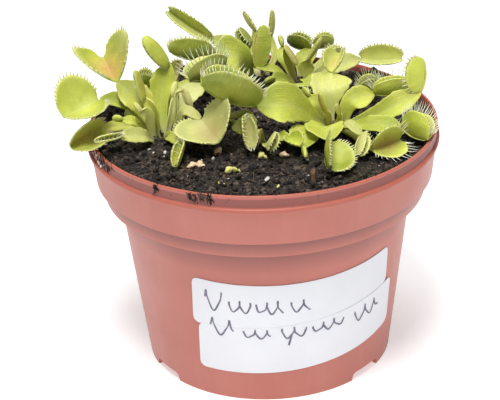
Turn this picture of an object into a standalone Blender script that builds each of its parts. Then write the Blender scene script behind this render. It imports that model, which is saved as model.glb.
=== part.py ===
"""A potted Venus flytrap: a nursery pot, its soil, two labels and one solid for every grown leaf."""

from math import asin, atan, cos, pi, radians, sin, sqrt

import bmesh
import bpy
from mathutils import Vector

MM = 0.001
GAP = 0.3  # clearance between touching pieces, mm

# The pot's axis stands this far from the frame's origin, so that the origin lies under the
# middle of everything, the overhanging leaves included.
AXIS_X = 3.8

# Pot, mm
POT_HEIGHT = 85.0
COLLAR_RADIUS = 59.4
COLLAR_WALL = 1.0
COLLAR_LEAN = 0.4  # how much further out the collar stands at its top than at its foot
COLLAR_FOOT_Z = 80.7
FLANGE_RADIUS = 60.0
FLANGE_FOOT_Z = 79.0
BAND_RADIUS = 59.0
BAND_FOOT_RADIUS = 57.7
BAND_FOOT_Z = 67.4
LOWER_BAND_RADIUS = 55.8
LOWER_BAND_FOOT_RADIUS = 55.1
LOWER_BAND_FOOT_Z = 61.4
BODY_RADIUS = 50.3
BODY_TOP_Z = 60.2
FOOT_RADIUS = 42.9
WALL = 1.2
FOOT_WALL = 1.6
FOOT_DRAFT = 0.3
STEP_DROP = 1.2  # height over which each step in the wall runs in
FLOOR_Z = 3.4  # underside of the raised floor
FLOOR_TOP_Z = 4.8
POT_SEGMENTS = 48
NOTCH_AZIMUTHS = (-147.0, -40.0, 88.0)
NOTCH_WIDTH = 14.0
NOTCH_HEIGHT = 3.0
NOTCH_CORNER = 2.1
NOTCH_REACH = 4.0  # how far a notch's cutter stands to each side of the foot's outer edge
DRAIN_COUNT = 6
DRAIN_TURN = radians(10)
DRAIN_RADIUS = 3.5
DRAIN_CIRCLE = 30.0
DRAIN_SEGMENTS = 16
CUT_PAST = 1.0  # how far cutters stand past what they cut
EDGE_ROUND = 0.4  # how far the rim's corners are eased

# Soil, mm
SOIL_MIDDLE_Z = 83.9
SOIL_SLOPE = -0.028  # the soil lies higher on the left of the pot than on the right
SOIL_SHARES = (1.0, 0.86, 0.68, 0.48, 0.25)  # rings of its surface, as shares of its radius
SOIL_SEGMENTS = 36
SOIL_HEAP = 0.5

# Labels: azimuth of the middle of the pair, then where each lies on the wall rolled out flat
# around that middle at LABEL_Z, in mm
LABEL_AZIMUTH = -79.0
LABEL_Z = 31.0
LABEL_THICKNESS = 0.25
LABEL_CORNER = 2.4
LABEL_COLUMNS = 14
LABELS = {
    # name: (left end, its foot, its head), (right end, its foot, its head)
    "label_upper": ((-35.6, -2.0, 15.9), (38.2, 3.0, 17.3)),
    "label_lower": ((-33.5, -21.2, -2.3), (41.5, -16.4, 2.7)),
}

# Crowns, where each rosette leaves the soil, in mm from the pot's axis
CROWNS = {
    "left": (-33, -10),
    "back": (-1, 40),
    "rear": (14, 39),
    "right": (24, -1),
    "middle": (0, -14),
}
BLADE_THICKNESS = 0.8
NECK_HALF_WIDTH = 0.7
BASE_HALF_WIDTH = 0.9
BASE_CLEARANCE = 0.9
LOBE_CURL = radians(24)
TRAP_BOW = 0.1  # how far a trap's midrib bows out, as a share of its length
BLADE_DISH = 0.2  # how steeply the two halves of a stalk rise from its middle
LOBE_FAN = 0.35  # how far the lobes spread past the ends of the midrib, as a share of its length
STALK_STATIONS = (0.0, 0.28, 0.52, 0.74, 0.91)
TRAP_STATIONS = (0.07, 0.27, 0.5, 0.75, 0.95)

# Each leaf: its crown, how far from the crown it starts, its stalk's points on the way to the
# hinge and the hinge itself, the way the stalk's upper side looks, the stalk's width, the trap's
# far tip, the way its mouth faces, the depth of a lobe, and the angle between the lobes in
# degrees. An angle of 0 means a trap whose lobes are pressed together.
FRONT = (0, -0.7, 0.7)
LEAVES = {
    "left_open_back": (
        "left", 4, [(-40, -9, 96), (-48, -6, 103)], FRONT, 10,
        (-54, 12, 105), (-0.25, -0.1, 1), 16, 68,
    ),
    "left_round": (
        "left", 6, [(-44, -5, 94), (-54, -10, 98.5)], (0, -0.5, 0.8), 7,
        (-66, -18, 96.5), (0, -0.5, 0.86), 12.5, 99,
    ),
    "left_low": (
        "left", 7, [(-44, -10, 89), (-54, -12, 89)], (0, -0.6, 0.8), 5,
        (-64, -21, 86.8), (-0.2, -1, 0.2), 9.6, 52,
    ),
    "left_comb": (
        "left", 7, [(-40, -20, 89.5), (-47, -22.5, 90.5)], FRONT, 6,
        (-55, -27, 91), (0.2, -0.8, 0.6), 4.2, 22,
    ),
    "left_young": (
        "left", 3, [(-36, -12, 94), (-39, -11, 99)], (-0.3, -0.9, 0.3), 4,
        (-41, -11, 109), (-0.5, -0.9, -0.1), 3.4, 0,
    ),
    "left_banana": (
        "left", 2, [(-34, -1, 97), (-31, 2, 106)], (0, -1, 0.2), 8,
        (-38, 0, 117), (-0.5, -0.8, -0.4), 5.4, 0,
    ),
    "left_short": (
        "left", 5, [(-38, -14.5, 93.5), (-40, -17, 97)], (0.3, -0.8, 0.5), 5,
        (-42, -17, 100), (-0.3, -0.4, 0.6), 2, 0,
    ),
    "left_folded": (
        "left", 1, [(-30.5, -7.5, 92), (-29.5, -4, 96)], (0.5, -0.8, 0.2), 3,
        (-28.5, -1, 100), (-0.6, -0.8, 0.3), 2.5, 0,
    ),
    "left_hook": (
        "left", 3, [(-28.8, -10.2, 94), (-28.5, -9.8, 100), (-26, -10, 101.4)], (-0.6, 0, 0.8), 1.8,
        (-24, -11, 95), (0.95, -0.1, 0.2), 2, 0,
    ),
    "left_hanging": (
        "left", 5, [(-31, -18, 88), (-26, -29, 90)], (0, -0.8, 0.6), 4,
        (-28.5, -38, 85.5), (-0.3, -0.8, 0.5), 5, 34,
    ),
    "left_open_front": (
        "left", 4, [(-26, -14, 95), (-20.5, -16, 93)], (0, -0.5, 0.8), 4,
        (-14.5, -31, 91), (-0.4, -0.2, 0.9), 13, 100,
    ),
    "left_pale": (
        "left", 4.5, [(-25, -3, 95), (-20, 4, 97)], (-0.3, -0.8, 0.5), 7,
        (-17, 8, 97), (0.1, -0.1, 1), 3, 0,
    ),
    "left_dark_back": (
        "left", 3, [(-38, 4, 90), (-38, 12, 93.5)], (0, -0.8, 0.6), 4,
        (-43.5, 12, 95), (-0.05, -0.2, 1), 6.8, 26,
    ),
    "left_fringed": (
        "left", 4, [(-31, 2, 93), (-25, 8, 97)], (0, -0.6, 0.8), 4,
        (-12, 16, 99), (-0.3, 0.3, 0.9), 9, 68,
    ),
    "left_shaded": (
        "left", 9, [(-42.5, -3, 89), (-45.5, 1, 91)], (0, -0.8, 0.6), 6.5,
        (-47.5, 3, 92.5), (0.1, -0.5, 0.8), 2.2, 0,
    ),
    "left_low_blade": (
        "left", 6, [(-42.5, -15, 92), (-46.5, -16, 93.5)], (0, -0.5, 0.85), 4,
        (-49.5, -16, 94), (0, -0.4, 0.9), 2.2, 0,
    ),
    "left_brown_pair": (
        "left", 6, [(-32, 6, 91), (-29, 17, 95)], (0, -0.8, 0.6), 3,
        (-27.5, 18, 100.5), (-0.5, -0.8, 0.2), 4.6, 56,
    ),
    "back_half_open": (
        "back", 4, [(-8, 30, 96), (-17, 26, 98)], FRONT, 14,
        (-32, 23, 102), (0.2, 0.5, 0.9), 8, 53,
    ),
    "back_edge_on": (
        "back", 4, [(-9, 44, 93), (-18, 42, 99)], FRONT, 7,
        (-32.5, 45, 109), (-0.15, -0.85, 0.5), 6.5, 46,
    ),
    "back_small": (
        "back", 4, [(-5.5, 47, 90), (-3, 50, 94)], FRONT, 4,
        (-7, 52, 99), (-0.6, -0.8, -0.1), 5, 40,
    ),
    "back_thin": (
        "back", 4, [(-2, 51, 90), (-2, 54, 97)], (0, -1, 0.1), 2.5,
        (-6, 54, 104), (0.7, -0.7, 0.3), 2.2, 0,
    ),
    "back_upright": (
        "back", 5, [(5, 48, 89), (4, 52, 95)], (0, -1, 0.1), 2.5,
        (5, 52, 105), (-0.7, -0.7, 0), 2.4, 0,
    ),
    "rear_tall": (
        "rear", 5, [(6, 33, 89), (-2, 31, 92)], (0, -0.4, 0.9), 4,
        (0, 34, 106), (0.8, 0.5, -0.2), 6.4, 24,
    ),
    "rear_broad": (
        "rear", 4, [(9, 42, 90), (8, 45, 94)], (0, -1, 0.3), 6,
        (7, 47, 97), (0, -0.8, 0.5), 2.5, 0,
    ),
    "rear_pink_hook": (
        "rear", 3, [(10, 36, 92), (9, 32, 99)], (0, -1, 0.1), 3.5,
        (13, 30, 93), (-0.5, -0.9, -0.1), 2.2, 0,
    ),
    "rear_round": (
        "rear", 4, [(14, 46, 88), (18, 49, 91)], (0, -0.6, 0.8), 4,
        (10, 53, 92), (0.1, 0.1, 1), 6, 36,
    ),
    "rear_diamond": (
        "rear", 3, [(16, 37, 88), (17, 36, 92)], (0, -1, 0.3), 6,
        (22, 36, 100), (-0.5, -0.8, 0.3), 2.6, 0,
    ),
    "rear_far_right": (
        "rear", 5, [(18, 50, 87), (20, 53, 90)], (0, -0.6, 0.8), 4,
        (27, 52, 92), (-0.1, 0.1, 1), 5.5, 37,
    ),
    "rear_pale": (
        "rear", 4, [(20, 43, 86), (24, 45, 89)], (0, -0.6, 0.8), 3,
        (30, 47, 89), (-0.1, 0.1, 1), 5, 46,
    ),
    "rear_half_open": (
        "rear", 4, [(26, 37, 89), (35.5, 36, 91.5)], (0, -0.8, 0.6), 7,
        (50.5, 34, 92), (-0.05, -0.72, 0.68), 7.2, 62,
    ),
    "rear_comb": (
        "rear", 4, [(16, 30, 87), (19, 24, 87)], (0, -0.6, 0.8), 5,
        (9, 24, 87), (0, -1, -0.2), 3, 30,
    ),
    "rear_left_leaf": (
        "rear", 5, [(8, 28, 88), (4, 19, 91)], (0, -0.7, 0.7), 6,
        (1, 15, 92), (0.3, -0.2, 0.9), 3, 0,
    ),
    "right_big": (
        "right", 4, [(10, -12, 95), (-2, -18, 98)], (0.1, -0.8, 0.6), 14,
        (-20, -21, 107.5), (0.3, 0.22, 0.85), 12.3, 60,
    ),
    "right_back_v": (
        "right", 4, [(23, 6, 92), (24, 13, 96)], FRONT, 14,
        (27, 21, 100), (-0.1, -0.4, 0.9), 7, 62,
    ),
    "right_round_back": (
        "right", 5, [(31, 8, 88), (33.5, 13, 88.5)], (0, -0.7, 0.7), 4,
        (41, 14.5, 89.5), (-0.1, -0.15, 1), 6.6, 30,
    ),
    "right_dome": (
        "right", 4, [(30, -1, 91), (38, 2, 92.5)], (0, -0.8, 0.6), 8,
        (51, 3, 94), (-0.2, 0.1, 1), 6.5, 31,
    ),
    "right_tall": (
        "right", 5, [(41, -9, 91), (53, -6, 96)], (0, -0.8, 0.6), 8,
        (54, -3, 107), (-1, 0, 0.1), 7, 27,
    ),
    "right_clam": (
        "right", 5, [(36, -13.5, 88), (46, -15, 87.5)], (0, -0.6, 0.8), 7,
        (54, -23, 86), (0.5, 0.2, 0.9), 9, 28,
    ),
    "right_open": (
        "right", 8, [(32, -21, 85.5), (35, -29, 86)], (0, -0.3, 0.9), 3,
        (45, -23, 86.5), (0.5, -0.7, 0.5), 9, 66,
    ),
    "right_pale": (
        "right", 5, [(28, -14, 89), (32, -24, 89)], (0, -0.4, 0.9), 4,
        (30, -34, 86), (0.5, -0.8, 0.2), 5, 25,
    ),
    "right_front": (
        "right", 6, [(20, -15, 88), (21.5, -30, 90)], (0, -0.2, 1), 14,
        (20.5, -45, 86.5), (0.4, -0.9, 0.2), 9.5, 75,
    ),
    "right_shoulder": (
        "right", 9, [(14.5, -16.5, 87), (13, -27.5, 86.5)], (0, -0.25, 1), 11,
        (13.5, -34, 86), (0, -0.3, 0.9), 2.2, 0,
    ),
    "right_young_red": (
        "right", 3, [(22, -5, 88), (21, -6, 90)], (0, -1, 0.2), 2.4,
        (19, -7, 97), (0.7, -0.7, 0.1), 2.2, 0,
    ),
    "right_bud": (
        "right", 2.5, [(26, -5, 87), (26, -6, 89)], (0, -1, 0.2), 2,
        (25, -7, 93), (-0.7, -0.8, 0), 1.6, 0,
    ),
    "right_blade_back": (
        "right", 4, [(19, -1, 90), (16, 0, 93)], (0, -0.8, 0.6), 6,
        (14, 3, 94), (-0.2, 0.1, 1), 2.5, 0,
    ),
    "right_blade_left": (
        "right", 4.5, [(16, 2, 90), (11, 6, 91)], (0, -0.8, 0.6), 6,
        (9, 9, 92), (-0.2, 0.1, 1), 2.5, 0,
    ),
    "middle_bright": (
        "middle", 4, [(5, -20, 87), (8, -25, 89)], (0, -0.6, 0.8), 5,
        (12, -29, 88), (0, -0.4, 0.9), 5, 80,
    ),
    "middle_grey": (
        "middle", 5, [(1, -24, 86.5), (1, -29, 88)], (0, -0.6, 0.8), 3,
        (4, -28, 93), (0.35, -0.95, 0.1), 4.8, 25,
    ),
    "middle_dead": (
        "middle", 3, [(-1, -20, 89), (-1, -24, 92)], (0, -0.8, 0.6), 2,
        (-2, -25, 87), (-0.5, -0.8, 0.2), 2.2, 0,
    ),
    "middle_boat": (
        "middle", 4, [(-4, -18, 92), (-6, -22, 96)], (0, -0.8, 0.6), 4,
        (-5, -26, 86.5), (0.3, -0.9, 0.3), 6.2, 44,
    ),
    "middle_narrow": (
        "middle", 2, [(-4, -13, 91), (-5, -14, 94)], (0, -0.8, 0.6), 3,
        (-12, -16, 93), (0, -0.5, 0.9), 2.2, 0,
    ),
    "middle_dark": (
        "middle", 5, [(-7, -13.5, 88), (-10, -12, 89)], (0, -0.5, 0.8), 6,
        (-11.5, -10.5, 90), (0, -0.5, 0.8), 2.2, 0,
    ),
}

COLOURS = {
    # name: (colour, roughness)
    "pot_plastic": ((0.57, 0.20, 0.16), 0.42),
    "soil_peat": ((0.025, 0.018, 0.015), 0.95),
    "label_paper": ((0.84, 0.85, 0.87), 0.6),
    "leaf_green": ((0.50, 0.58, 0.06), 0.4),
}


def clear_scene():
    for thing in list(bpy.data.objects):
        bpy.data.objects.remove(thing, do_unlink=True)


def make_material(name):
    colour, roughness = COLOURS[name]
    material = bpy.data.materials.new(name)
    material.use_nodes = True
    shader = material.node_tree.nodes["Principled BSDF"]
    shader.inputs["Base Color"].default_value = (*colour, 1.0)
    shader.inputs["Roughness"].default_value = roughness
    shader.inputs["Metallic"].default_value = 0.0
    return material


def add_object(name, mesh, material, parent):
    thing = bpy.data.objects.new(name, mesh)
    bpy.context.scene.collection.objects.link(thing)
    thing.parent = parent
    mesh.materials.append(material)
    return thing


def mesh_from(name, points, faces, smooth_angle=40.0):
    """A mesh from points in mm, shaded smooth with its sharp edges kept."""
    mesh = bpy.data.meshes.new(name)
    mesh.from_pydata([Vector(point) * MM for point in points], [], faces)
    mesh.shade_smooth()
    mesh.set_sharp_from_angle(angle=radians(smooth_angle))
    return mesh


def turned_mesh(name, profile, segments):
    """A closed profile of (radius, height) points turned round Z; a radius of 0 is a pole."""
    points = []
    rings = []
    for radius, height in profile:
        count = 1 if radius == 0 else segments
        rings.append([len(points) + i for i in range(count)])
        for i in range(count):
            angle = 2 * pi * i / segments
            points.append((radius * cos(angle), radius * sin(angle), height))
    faces = []
    closed = profile[0][0] != 0
    pairs = zip(rings, rings[1:] + rings[:1]) if closed else zip(rings, rings[1:])
    for lower, upper in pairs:
        for i in range(segments):
            corners = [
                lower[i % len(lower)],
                lower[(i + 1) % segments % len(lower)],
                upper[(i + 1) % segments % len(upper)],
                upper[i % len(upper)],
            ]
            faces.append(list(dict.fromkeys(corners)))
    return mesh_from(name, points, faces)


# ---- the pot and what lies in and on it

def body_radius(height):
    """Outer radius of the tapered wall at a height."""
    return FOOT_RADIUS + (BODY_RADIUS - FOOT_RADIUS) * height / BODY_TOP_Z


def wall_outline(offset):
    """The pot's wall from its foot to the collar's foot, moved inwards by offset."""
    return [
        (body_radius(FLOOR_TOP_Z) - offset, FLOOR_TOP_Z),
        (BODY_RADIUS - offset, BODY_TOP_Z),
        (LOWER_BAND_FOOT_RADIUS - offset, LOWER_BAND_FOOT_Z),
        (LOWER_BAND_RADIUS - offset, BAND_FOOT_Z - STEP_DROP),
        (BAND_FOOT_RADIUS - offset, BAND_FOOT_Z),
        (BAND_RADIUS - offset, FLANGE_FOOT_Z),
    ]


def pot_profile():
    outer = [
        (FOOT_RADIUS, 0.0),
        *wall_outline(0.0),
        (FLANGE_RADIUS - EDGE_ROUND / 2, FLANGE_FOOT_Z),
        (FLANGE_RADIUS, FLANGE_FOOT_Z + EDGE_ROUND),
        (FLANGE_RADIUS, COLLAR_FOOT_Z - EDGE_ROUND),
        (FLANGE_RADIUS - EDGE_ROUND, COLLAR_FOOT_Z),
        (COLLAR_RADIUS - COLLAR_LEAN, COLLAR_FOOT_Z),
        (COLLAR_RADIUS, POT_HEIGHT - EDGE_ROUND / 2),
        (COLLAR_RADIUS - EDGE_ROUND / 2, POT_HEIGHT),
    ]
    inner = [
        (COLLAR_RADIUS - COLLAR_WALL, POT_HEIGHT),
        (COLLAR_RADIUS - COLLAR_WALL - COLLAR_LEAN, COLLAR_FOOT_Z),
        *reversed(wall_outline(WALL)),
        (0.0, FLOOR_TOP_Z),
    ]
    foot = [
        (0.0, FLOOR_Z),
        (FOOT_RADIUS - FOOT_WALL + FOOT_DRAFT, FLOOR_Z),
        (FOOT_RADIUS - FOOT_WALL, 0.0),
    ]
    return foot + outer + inner


def add_cutter(name, mesh, parent):
    cutter = bpy.data.objects.new(name, mesh)
    bpy.context.scene.collection.objects.link(cutter)
    cutter.parent = parent
    cutter.hide_render = True
    cutter.display_type = "WIRE"
    return cutter


def make_drain_cutter(name, angle, parent):
    """An upright drum that cuts one drain hole through the raised floor."""
    shape = bmesh.new()
    depth = FLOOR_TOP_Z - FLOOR_Z + 2 * CUT_PAST
    bmesh.ops.create_cone(
        shape,
        cap_ends=True,
        segments=DRAIN_SEGMENTS,
        radius1=DRAIN_RADIUS * MM,
        radius2=DRAIN_RADIUS * MM,
        depth=depth * MM,
    )
    mesh = bpy.data.meshes.new(name)
    shape.to_mesh(mesh)
    shape.free()
    cutter = add_cutter(name, mesh, parent)
    middle = (DRAIN_CIRCLE * cos(angle), DRAIN_CIRCLE * sin(angle), (FLOOR_Z + FLOOR_TOP_Z) / 2)
    cutter.location = Vector(middle) * MM
    return cutter


def make_notch_cutter(name, azimuth, parent):
    """A block with rounded upper corners that cuts one notch through the foot ring."""
    half = NOTCH_WIDTH / 2
    shoulder = half - NOTCH_CORNER
    springing = NOTCH_HEIGHT - NOTCH_CORNER
    reach = NOTCH_CORNER * sin(pi / 4)
    outline = [
        (-half, -CUT_PAST),
        (half, -CUT_PAST),
        (half, springing),
        (shoulder + reach, springing + reach),
        (shoulder, NOTCH_HEIGHT),
        (-shoulder, NOTCH_HEIGHT),
        (-shoulder - reach, springing + reach),
        (-half, springing),
    ]
    count = len(outline)
    points = [(FOOT_RADIUS - NOTCH_REACH, across, up) for across, up in outline]
    points += [(FOOT_RADIUS + NOTCH_REACH, across, up) for across, up in outline]
    faces = [list(range(count - 1, -1, -1)), list(range(count, 2 * count))]
    faces += [[i, (i + 1) % count, count + (i + 1) % count, count + i] for i in range(count)]
    cutter = add_cutter(name, mesh_from(name, points, faces), parent)
    cutter.rotation_euler.z = radians(azimuth)
    return cutter


def make_pot(parent):
    """The turned wall, then the notches through its foot and the drain holes through its floor."""
    wall = turned_mesh("pot", pot_profile(), POT_SEGMENTS)
    pot = add_object("pot", wall, make_material("pot_plastic"), parent)
    cutters = []
    for i, azimuth in enumerate(NOTCH_AZIMUTHS):
        cutters.append(make_notch_cutter(f"notch_cutter_{i}", azimuth, parent))
    for i in range(DRAIN_COUNT):
        angle = DRAIN_TURN + 2 * pi * i / DRAIN_COUNT
        cutters.append(make_drain_cutter(f"drain_cutter_{i}", angle, parent))
    for cutter in cutters:
        cut = pot.modifiers.new(cutter.name, "BOOLEAN")
        cut.operation = "DIFFERENCE"
        cut.object = cutter
    return pot


def soil_height(x, y):
    """Height of the soil's surface: it slopes gently and is heaped a little."""
    heap = SOIL_HEAP * sin(0.11 * x + 1.0) * cos(0.09 * y)
    return SOIL_MIDDLE_Z + SOIL_SLOPE * x + heap


def make_soil(parent):
    """Soil that fills the pot, a little clear of the wall and open to the air on top."""
    below = [(0.0, FLOOR_TOP_Z + GAP)]
    below += [(radius, height + GAP) for radius, height in wall_outline(WALL + GAP)]
    mouth = COLLAR_RADIUS - COLLAR_WALL - COLLAR_LEAN - GAP
    points = [(0.0, 0.0, below[0][1])]
    rings = []
    for radius, height in below[1:] + [(mouth, COLLAR_FOOT_Z)]:
        rings.append(len(points))
        for i in range(SOIL_SEGMENTS):
            angle = 2 * pi * i / SOIL_SEGMENTS
            points.append((radius * cos(angle), radius * sin(angle), height))
    for share in SOIL_SHARES:
        rings.append(len(points))
        for i in range(SOIL_SEGMENTS):
            angle = 2 * pi * i / SOIL_SEGMENTS
            x = mouth * share * cos(angle)
            y = mouth * share * sin(angle)
            points.append((x, y, soil_height(x, y)))
    top = len(points)
    points.append((0.0, 0.0, soil_height(0.0, 0.0)))
    faces = []
    for i in range(SOIL_SEGMENTS):
        after = (i + 1) % SOIL_SEGMENTS
        faces.append([0, rings[0] + after, rings[0] + i])
        for lower, upper in zip(rings, rings[1:]):
            faces.append([lower + i, lower + after, upper + after, upper + i])
        faces.append([rings[-1] + i, rings[-1] + after, top])
    return add_object("soil", mesh_from("soil", points, faces), make_material("soil_peat"), parent)


def on_wall(across, up, clear):
    """The point of the tapered wall that a point of the rolled-out wall lands on."""
    taper = (BODY_RADIUS - FOOT_RADIUS) / BODY_TOP_Z
    lean = sin(atan(taper))
    start = body_radius(LABEL_Z) / lean
    reach = sqrt(across**2 + (start + up) ** 2)
    angle = radians(LABEL_AZIMUTH) + asin(across / reach) / lean
    radius = reach * lean
    height = (radius - FOOT_RADIUS) / taper
    return ((radius + clear) * cos(angle), (radius + clear) * sin(angle), height)


def make_label(name, material, parent):
    """A thin sticker with round corners, wrapped on the tapered wall."""
    (left, left_foot, left_head), (right, right_foot, right_head) = LABELS[name]
    straight = (right - left) / 2 - LABEL_CORNER
    middle = (left + right) / 2
    shares = [i / LABEL_COLUMNS * 2 - 1 for i in range(LABEL_COLUMNS + 1)]
    columns = [left, left + 0.35 * LABEL_CORNER]
    columns += [middle + share * straight for share in shares]
    columns += [right - 0.35 * LABEL_CORNER, right]
    points = []
    for clear in (GAP, GAP + LABEL_THICKNESS):
        for x in columns:
            past = max(0.0, abs(x - middle) - straight)
            rounding = LABEL_CORNER - sqrt(max(0.0, LABEL_CORNER**2 - past**2))
            along = (x - left) / (right - left)
            low = left_foot + (right_foot - left_foot) * along + rounding
            high = left_head + (right_head - left_head) * along - rounding
            for up in (low, (low + high) / 2, high):
                points.append(on_wall(x, up, clear))
    count = len(columns) * 3
    faces = []
    for i in range(len(columns) - 1):
        for j in range(2):
            low = i * 3 + j
            faces.append([low, low + 1, low + 4, low + 3])
            faces.append([count + low, count + low + 3, count + low + 4, count + low + 1])
    rim = [3 * i for i in range(len(columns))]
    rim += [count - 2] + [3 * i + 2 for i in reversed(range(len(columns)))] + [1]
    for here, after in zip(rim, rim[1:] + rim[:1]):
        faces.append([here, after, count + after, count + here])
    return add_object(name, mesh_from(name, points, faces), material, parent)


# ---- the leaves

def smooth_point(spine, t):
    """A point and a heading on a smooth curve through the spine, t running from 0 to 1."""
    spans = len(spine) - 1
    place = min(t, 0.9999) * spans
    i = int(place)
    u = place - i
    before = spine[i - 1] if i > 0 else spine[0] * 2 - spine[1]
    start = spine[i]
    end = spine[i + 1]
    after = spine[i + 2] if i + 2 <= spans else spine[-1] * 2 - spine[-2]
    slope_in = (end - before) / 2
    slope_out = (after - start) / 2
    point = (
        start * (2 * u**3 - 3 * u**2 + 1)
        + slope_in * (u**3 - 2 * u**2 + u)
        + end * (3 * u**2 - 2 * u**3)
        + slope_out * (u**3 - u**2)
    )
    heading = (
        start * (6 * u**2 - 6 * u)
        + slope_in * (3 * u**2 - 4 * u + 1)
        + end * (6 * u - 6 * u**2)
        + slope_out * (3 * u**2 - 2 * u)
    )
    return point, heading.normalized()


def frame_along(heading, look):
    """Side and upper normal of a stalk that runs along heading and looks as near as it can to look."""
    normal = (look - heading * look.dot(heading)).normalized()
    return heading.cross(normal), normal


def ribbon(offsets, thickness):
    """A line of (across, up) points thickened to a closed ring: upper side, then back below."""
    upper = []
    lower = []
    for i, here in enumerate(offsets):
        before = offsets[max(i - 1, 0)]
        after = offsets[min(i + 1, len(offsets) - 1)]
        run = Vector((after[0] - before[0], after[1] - before[1])).normalized()
        step = Vector((-run.y, run.x)) * thickness / 2
        upper.append((here[0] + step.x, here[1] + step.y))
        lower.append((here[0] - step.x, here[1] - step.y))
    return upper + lower[::-1]


def stalk_ring(half, thickness):
    rise = BLADE_DISH * half
    line = [(-half, rise), (-half / 2, rise / 2), (0, 0), (half / 2, rise / 2), (half, rise)]
    return ribbon(line, thickness)


def open_ring(depth, gape):
    """A trap's section: two curved lobes that stand gape apart."""
    inner = gape / 2 + LOBE_CURL
    outer = gape / 2 - LOBE_CURL
    knee = (depth / 2 * sin(inner), depth / 2 * cos(inner))
    edge = (knee[0] + depth / 2 * sin(outer), knee[1] + depth / 2 * cos(outer))
    line = [(-edge[0], edge[1]), (-knee[0], knee[1]), (0, 0), knee, edge]
    return ribbon(line, BLADE_THICKNESS)


def closed_ring(depth):
    """The section of a trap whose lobes are pressed together."""
    return [
        (-0.16 * depth, 0.92 * depth),
        (-0.06 * depth, depth),
        (0, 1.02 * depth),
        (0.06 * depth, depth),
        (0.16 * depth, 0.92 * depth),
        (0.32 * depth, 0.6 * depth),
        (0.26 * depth, 0.2 * depth),
        (0, 0),
        (-0.26 * depth, 0.2 * depth),
        (-0.32 * depth, 0.6 * depth),
    ]


def placed(ring, origin, side, normal):
    return [origin + side * across + normal * up for across, up in ring]


def leaf_mesh(name):
    """One leaf as a closed loft: its stalk, a narrow neck, then the trap."""
    crown, start, stalk, look, width, tip, face, depth, gape_degrees = LEAVES[name]
    crown_x, crown_y = CROWNS[crown]
    hinge = Vector(stalk[-1])
    tip = Vector(tip)
    level = Vector((stalk[0][0] - crown_x, stalk[0][1] - crown_y, 0)).normalized()
    base = Vector((crown_x, crown_y, 0)) + level * start
    base.z = soil_height(base.x, base.y) + BASE_CLEARANCE
    spine = [base] + [Vector(point) for point in stalk]
    rings = []
    for t in STALK_STATIONS:
        point, heading = smooth_point(spine, t)
        side, normal = frame_along(heading, Vector(look))
        swell = sin(pi * t**1.7) ** 0.9
        end_half = BASE_HALF_WIDTH + (NECK_HALF_WIDTH - BASE_HALF_WIDTH) * t
        half = end_half + (width / 2 - end_half) * swell
        rings.append(placed(stalk_ring(half, BLADE_THICKNESS), point, side, normal))
    axis = (tip - hinge).normalized()
    across, mouth = frame_along(axis, Vector(face))
    side, normal = frame_along((heading + axis).normalized(), normal + mouth)
    rings.append(placed(stalk_ring(NECK_HALF_WIDTH, BLADE_THICKNESS), hinge, side, normal))
    length = (tip - hinge).length
    for s in TRAP_STATIONS:
        size = max(0.25, sqrt(sin(pi * s))) * depth
        origin = hinge + axis * length * s - mouth * TRAP_BOW * length * sin(pi * s)
        ring = open_ring(size, radians(gape_degrees)) if gape_degrees else closed_ring(size)
        fan = axis * LOBE_FAN * length * (s - 0.5) / depth
        set_out = placed(ring, origin, across, mouth)
        rings.append([point + fan * up for point, (_, up) in zip(set_out, ring)])
    points = [point for ring in rings for point in ring]
    count = len(rings[0])
    faces = [list(range(count - 1, -1, -1)), list(range(len(points) - count, len(points)))]
    for k in range(len(rings) - 1):
        low = k * count
        for i in range(count):
            after = (i + 1) % count
            faces.append([low + i, low + after, low + count + after, low + count + i])
    return mesh_from(name, points, faces, 60.0)


def main():
    clear_scene()
    axis = bpy.data.objects.new("pot_axis", None)
    bpy.context.scene.collection.objects.link(axis)
    axis.location.x = AXIS_X * MM
    make_pot(axis)
    make_soil(axis)
    paper = make_material("label_paper")
    for name in LABELS:
        make_label(name, paper, axis)
    green = make_material("leaf_green")
    for name in LEAVES:
        add_object("leaf_" + name, leaf_mesh(name), green, axis)


main()
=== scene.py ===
import math
import random

import bpy
from mathutils import Matrix, Vector, noise


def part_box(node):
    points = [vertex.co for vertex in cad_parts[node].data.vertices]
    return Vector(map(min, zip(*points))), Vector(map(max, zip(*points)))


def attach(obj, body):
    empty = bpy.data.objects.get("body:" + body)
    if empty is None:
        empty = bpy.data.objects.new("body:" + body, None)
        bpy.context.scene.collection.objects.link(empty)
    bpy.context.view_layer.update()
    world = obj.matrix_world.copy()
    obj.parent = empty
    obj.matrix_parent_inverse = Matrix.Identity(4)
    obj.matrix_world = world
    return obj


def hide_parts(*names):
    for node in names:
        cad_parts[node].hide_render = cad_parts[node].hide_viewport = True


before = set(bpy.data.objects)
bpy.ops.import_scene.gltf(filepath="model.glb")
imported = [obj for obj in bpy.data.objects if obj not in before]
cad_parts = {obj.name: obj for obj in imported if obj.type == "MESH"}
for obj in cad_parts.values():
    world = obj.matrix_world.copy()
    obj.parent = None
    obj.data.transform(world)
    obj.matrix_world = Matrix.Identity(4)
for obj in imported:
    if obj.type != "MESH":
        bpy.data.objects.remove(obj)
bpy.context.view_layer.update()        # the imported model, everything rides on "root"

mm = 0.001
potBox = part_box("pot")
potX = (potBox[0].x + potBox[1].x) / 2     # the pot's axis, everything below is measured from it
potY = (potBox[0].y + potBox[1].y) / 2


# small helpers

def deselectAll():
    if bpy.context.object and bpy.context.object.mode != "OBJECT":
        bpy.ops.object.mode_set(mode="OBJECT")
    bpy.ops.object.select_all(action="DESELECT")


def pick(piece):
    deselectAll()
    piece.select_set(True)
    bpy.context.view_layer.objects.active = piece


def bake(piece):
    # leaves the object at the origin, unturned, with its place in its mesh
    pick(piece)
    bpy.ops.object.transform_apply(location=True, rotation=True, scale=True)


def applyAll(piece):
    pick(piece)
    for modifier in list(piece.modifiers):
        bpy.ops.object.modifier_apply(modifier=modifier.name)


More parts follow.
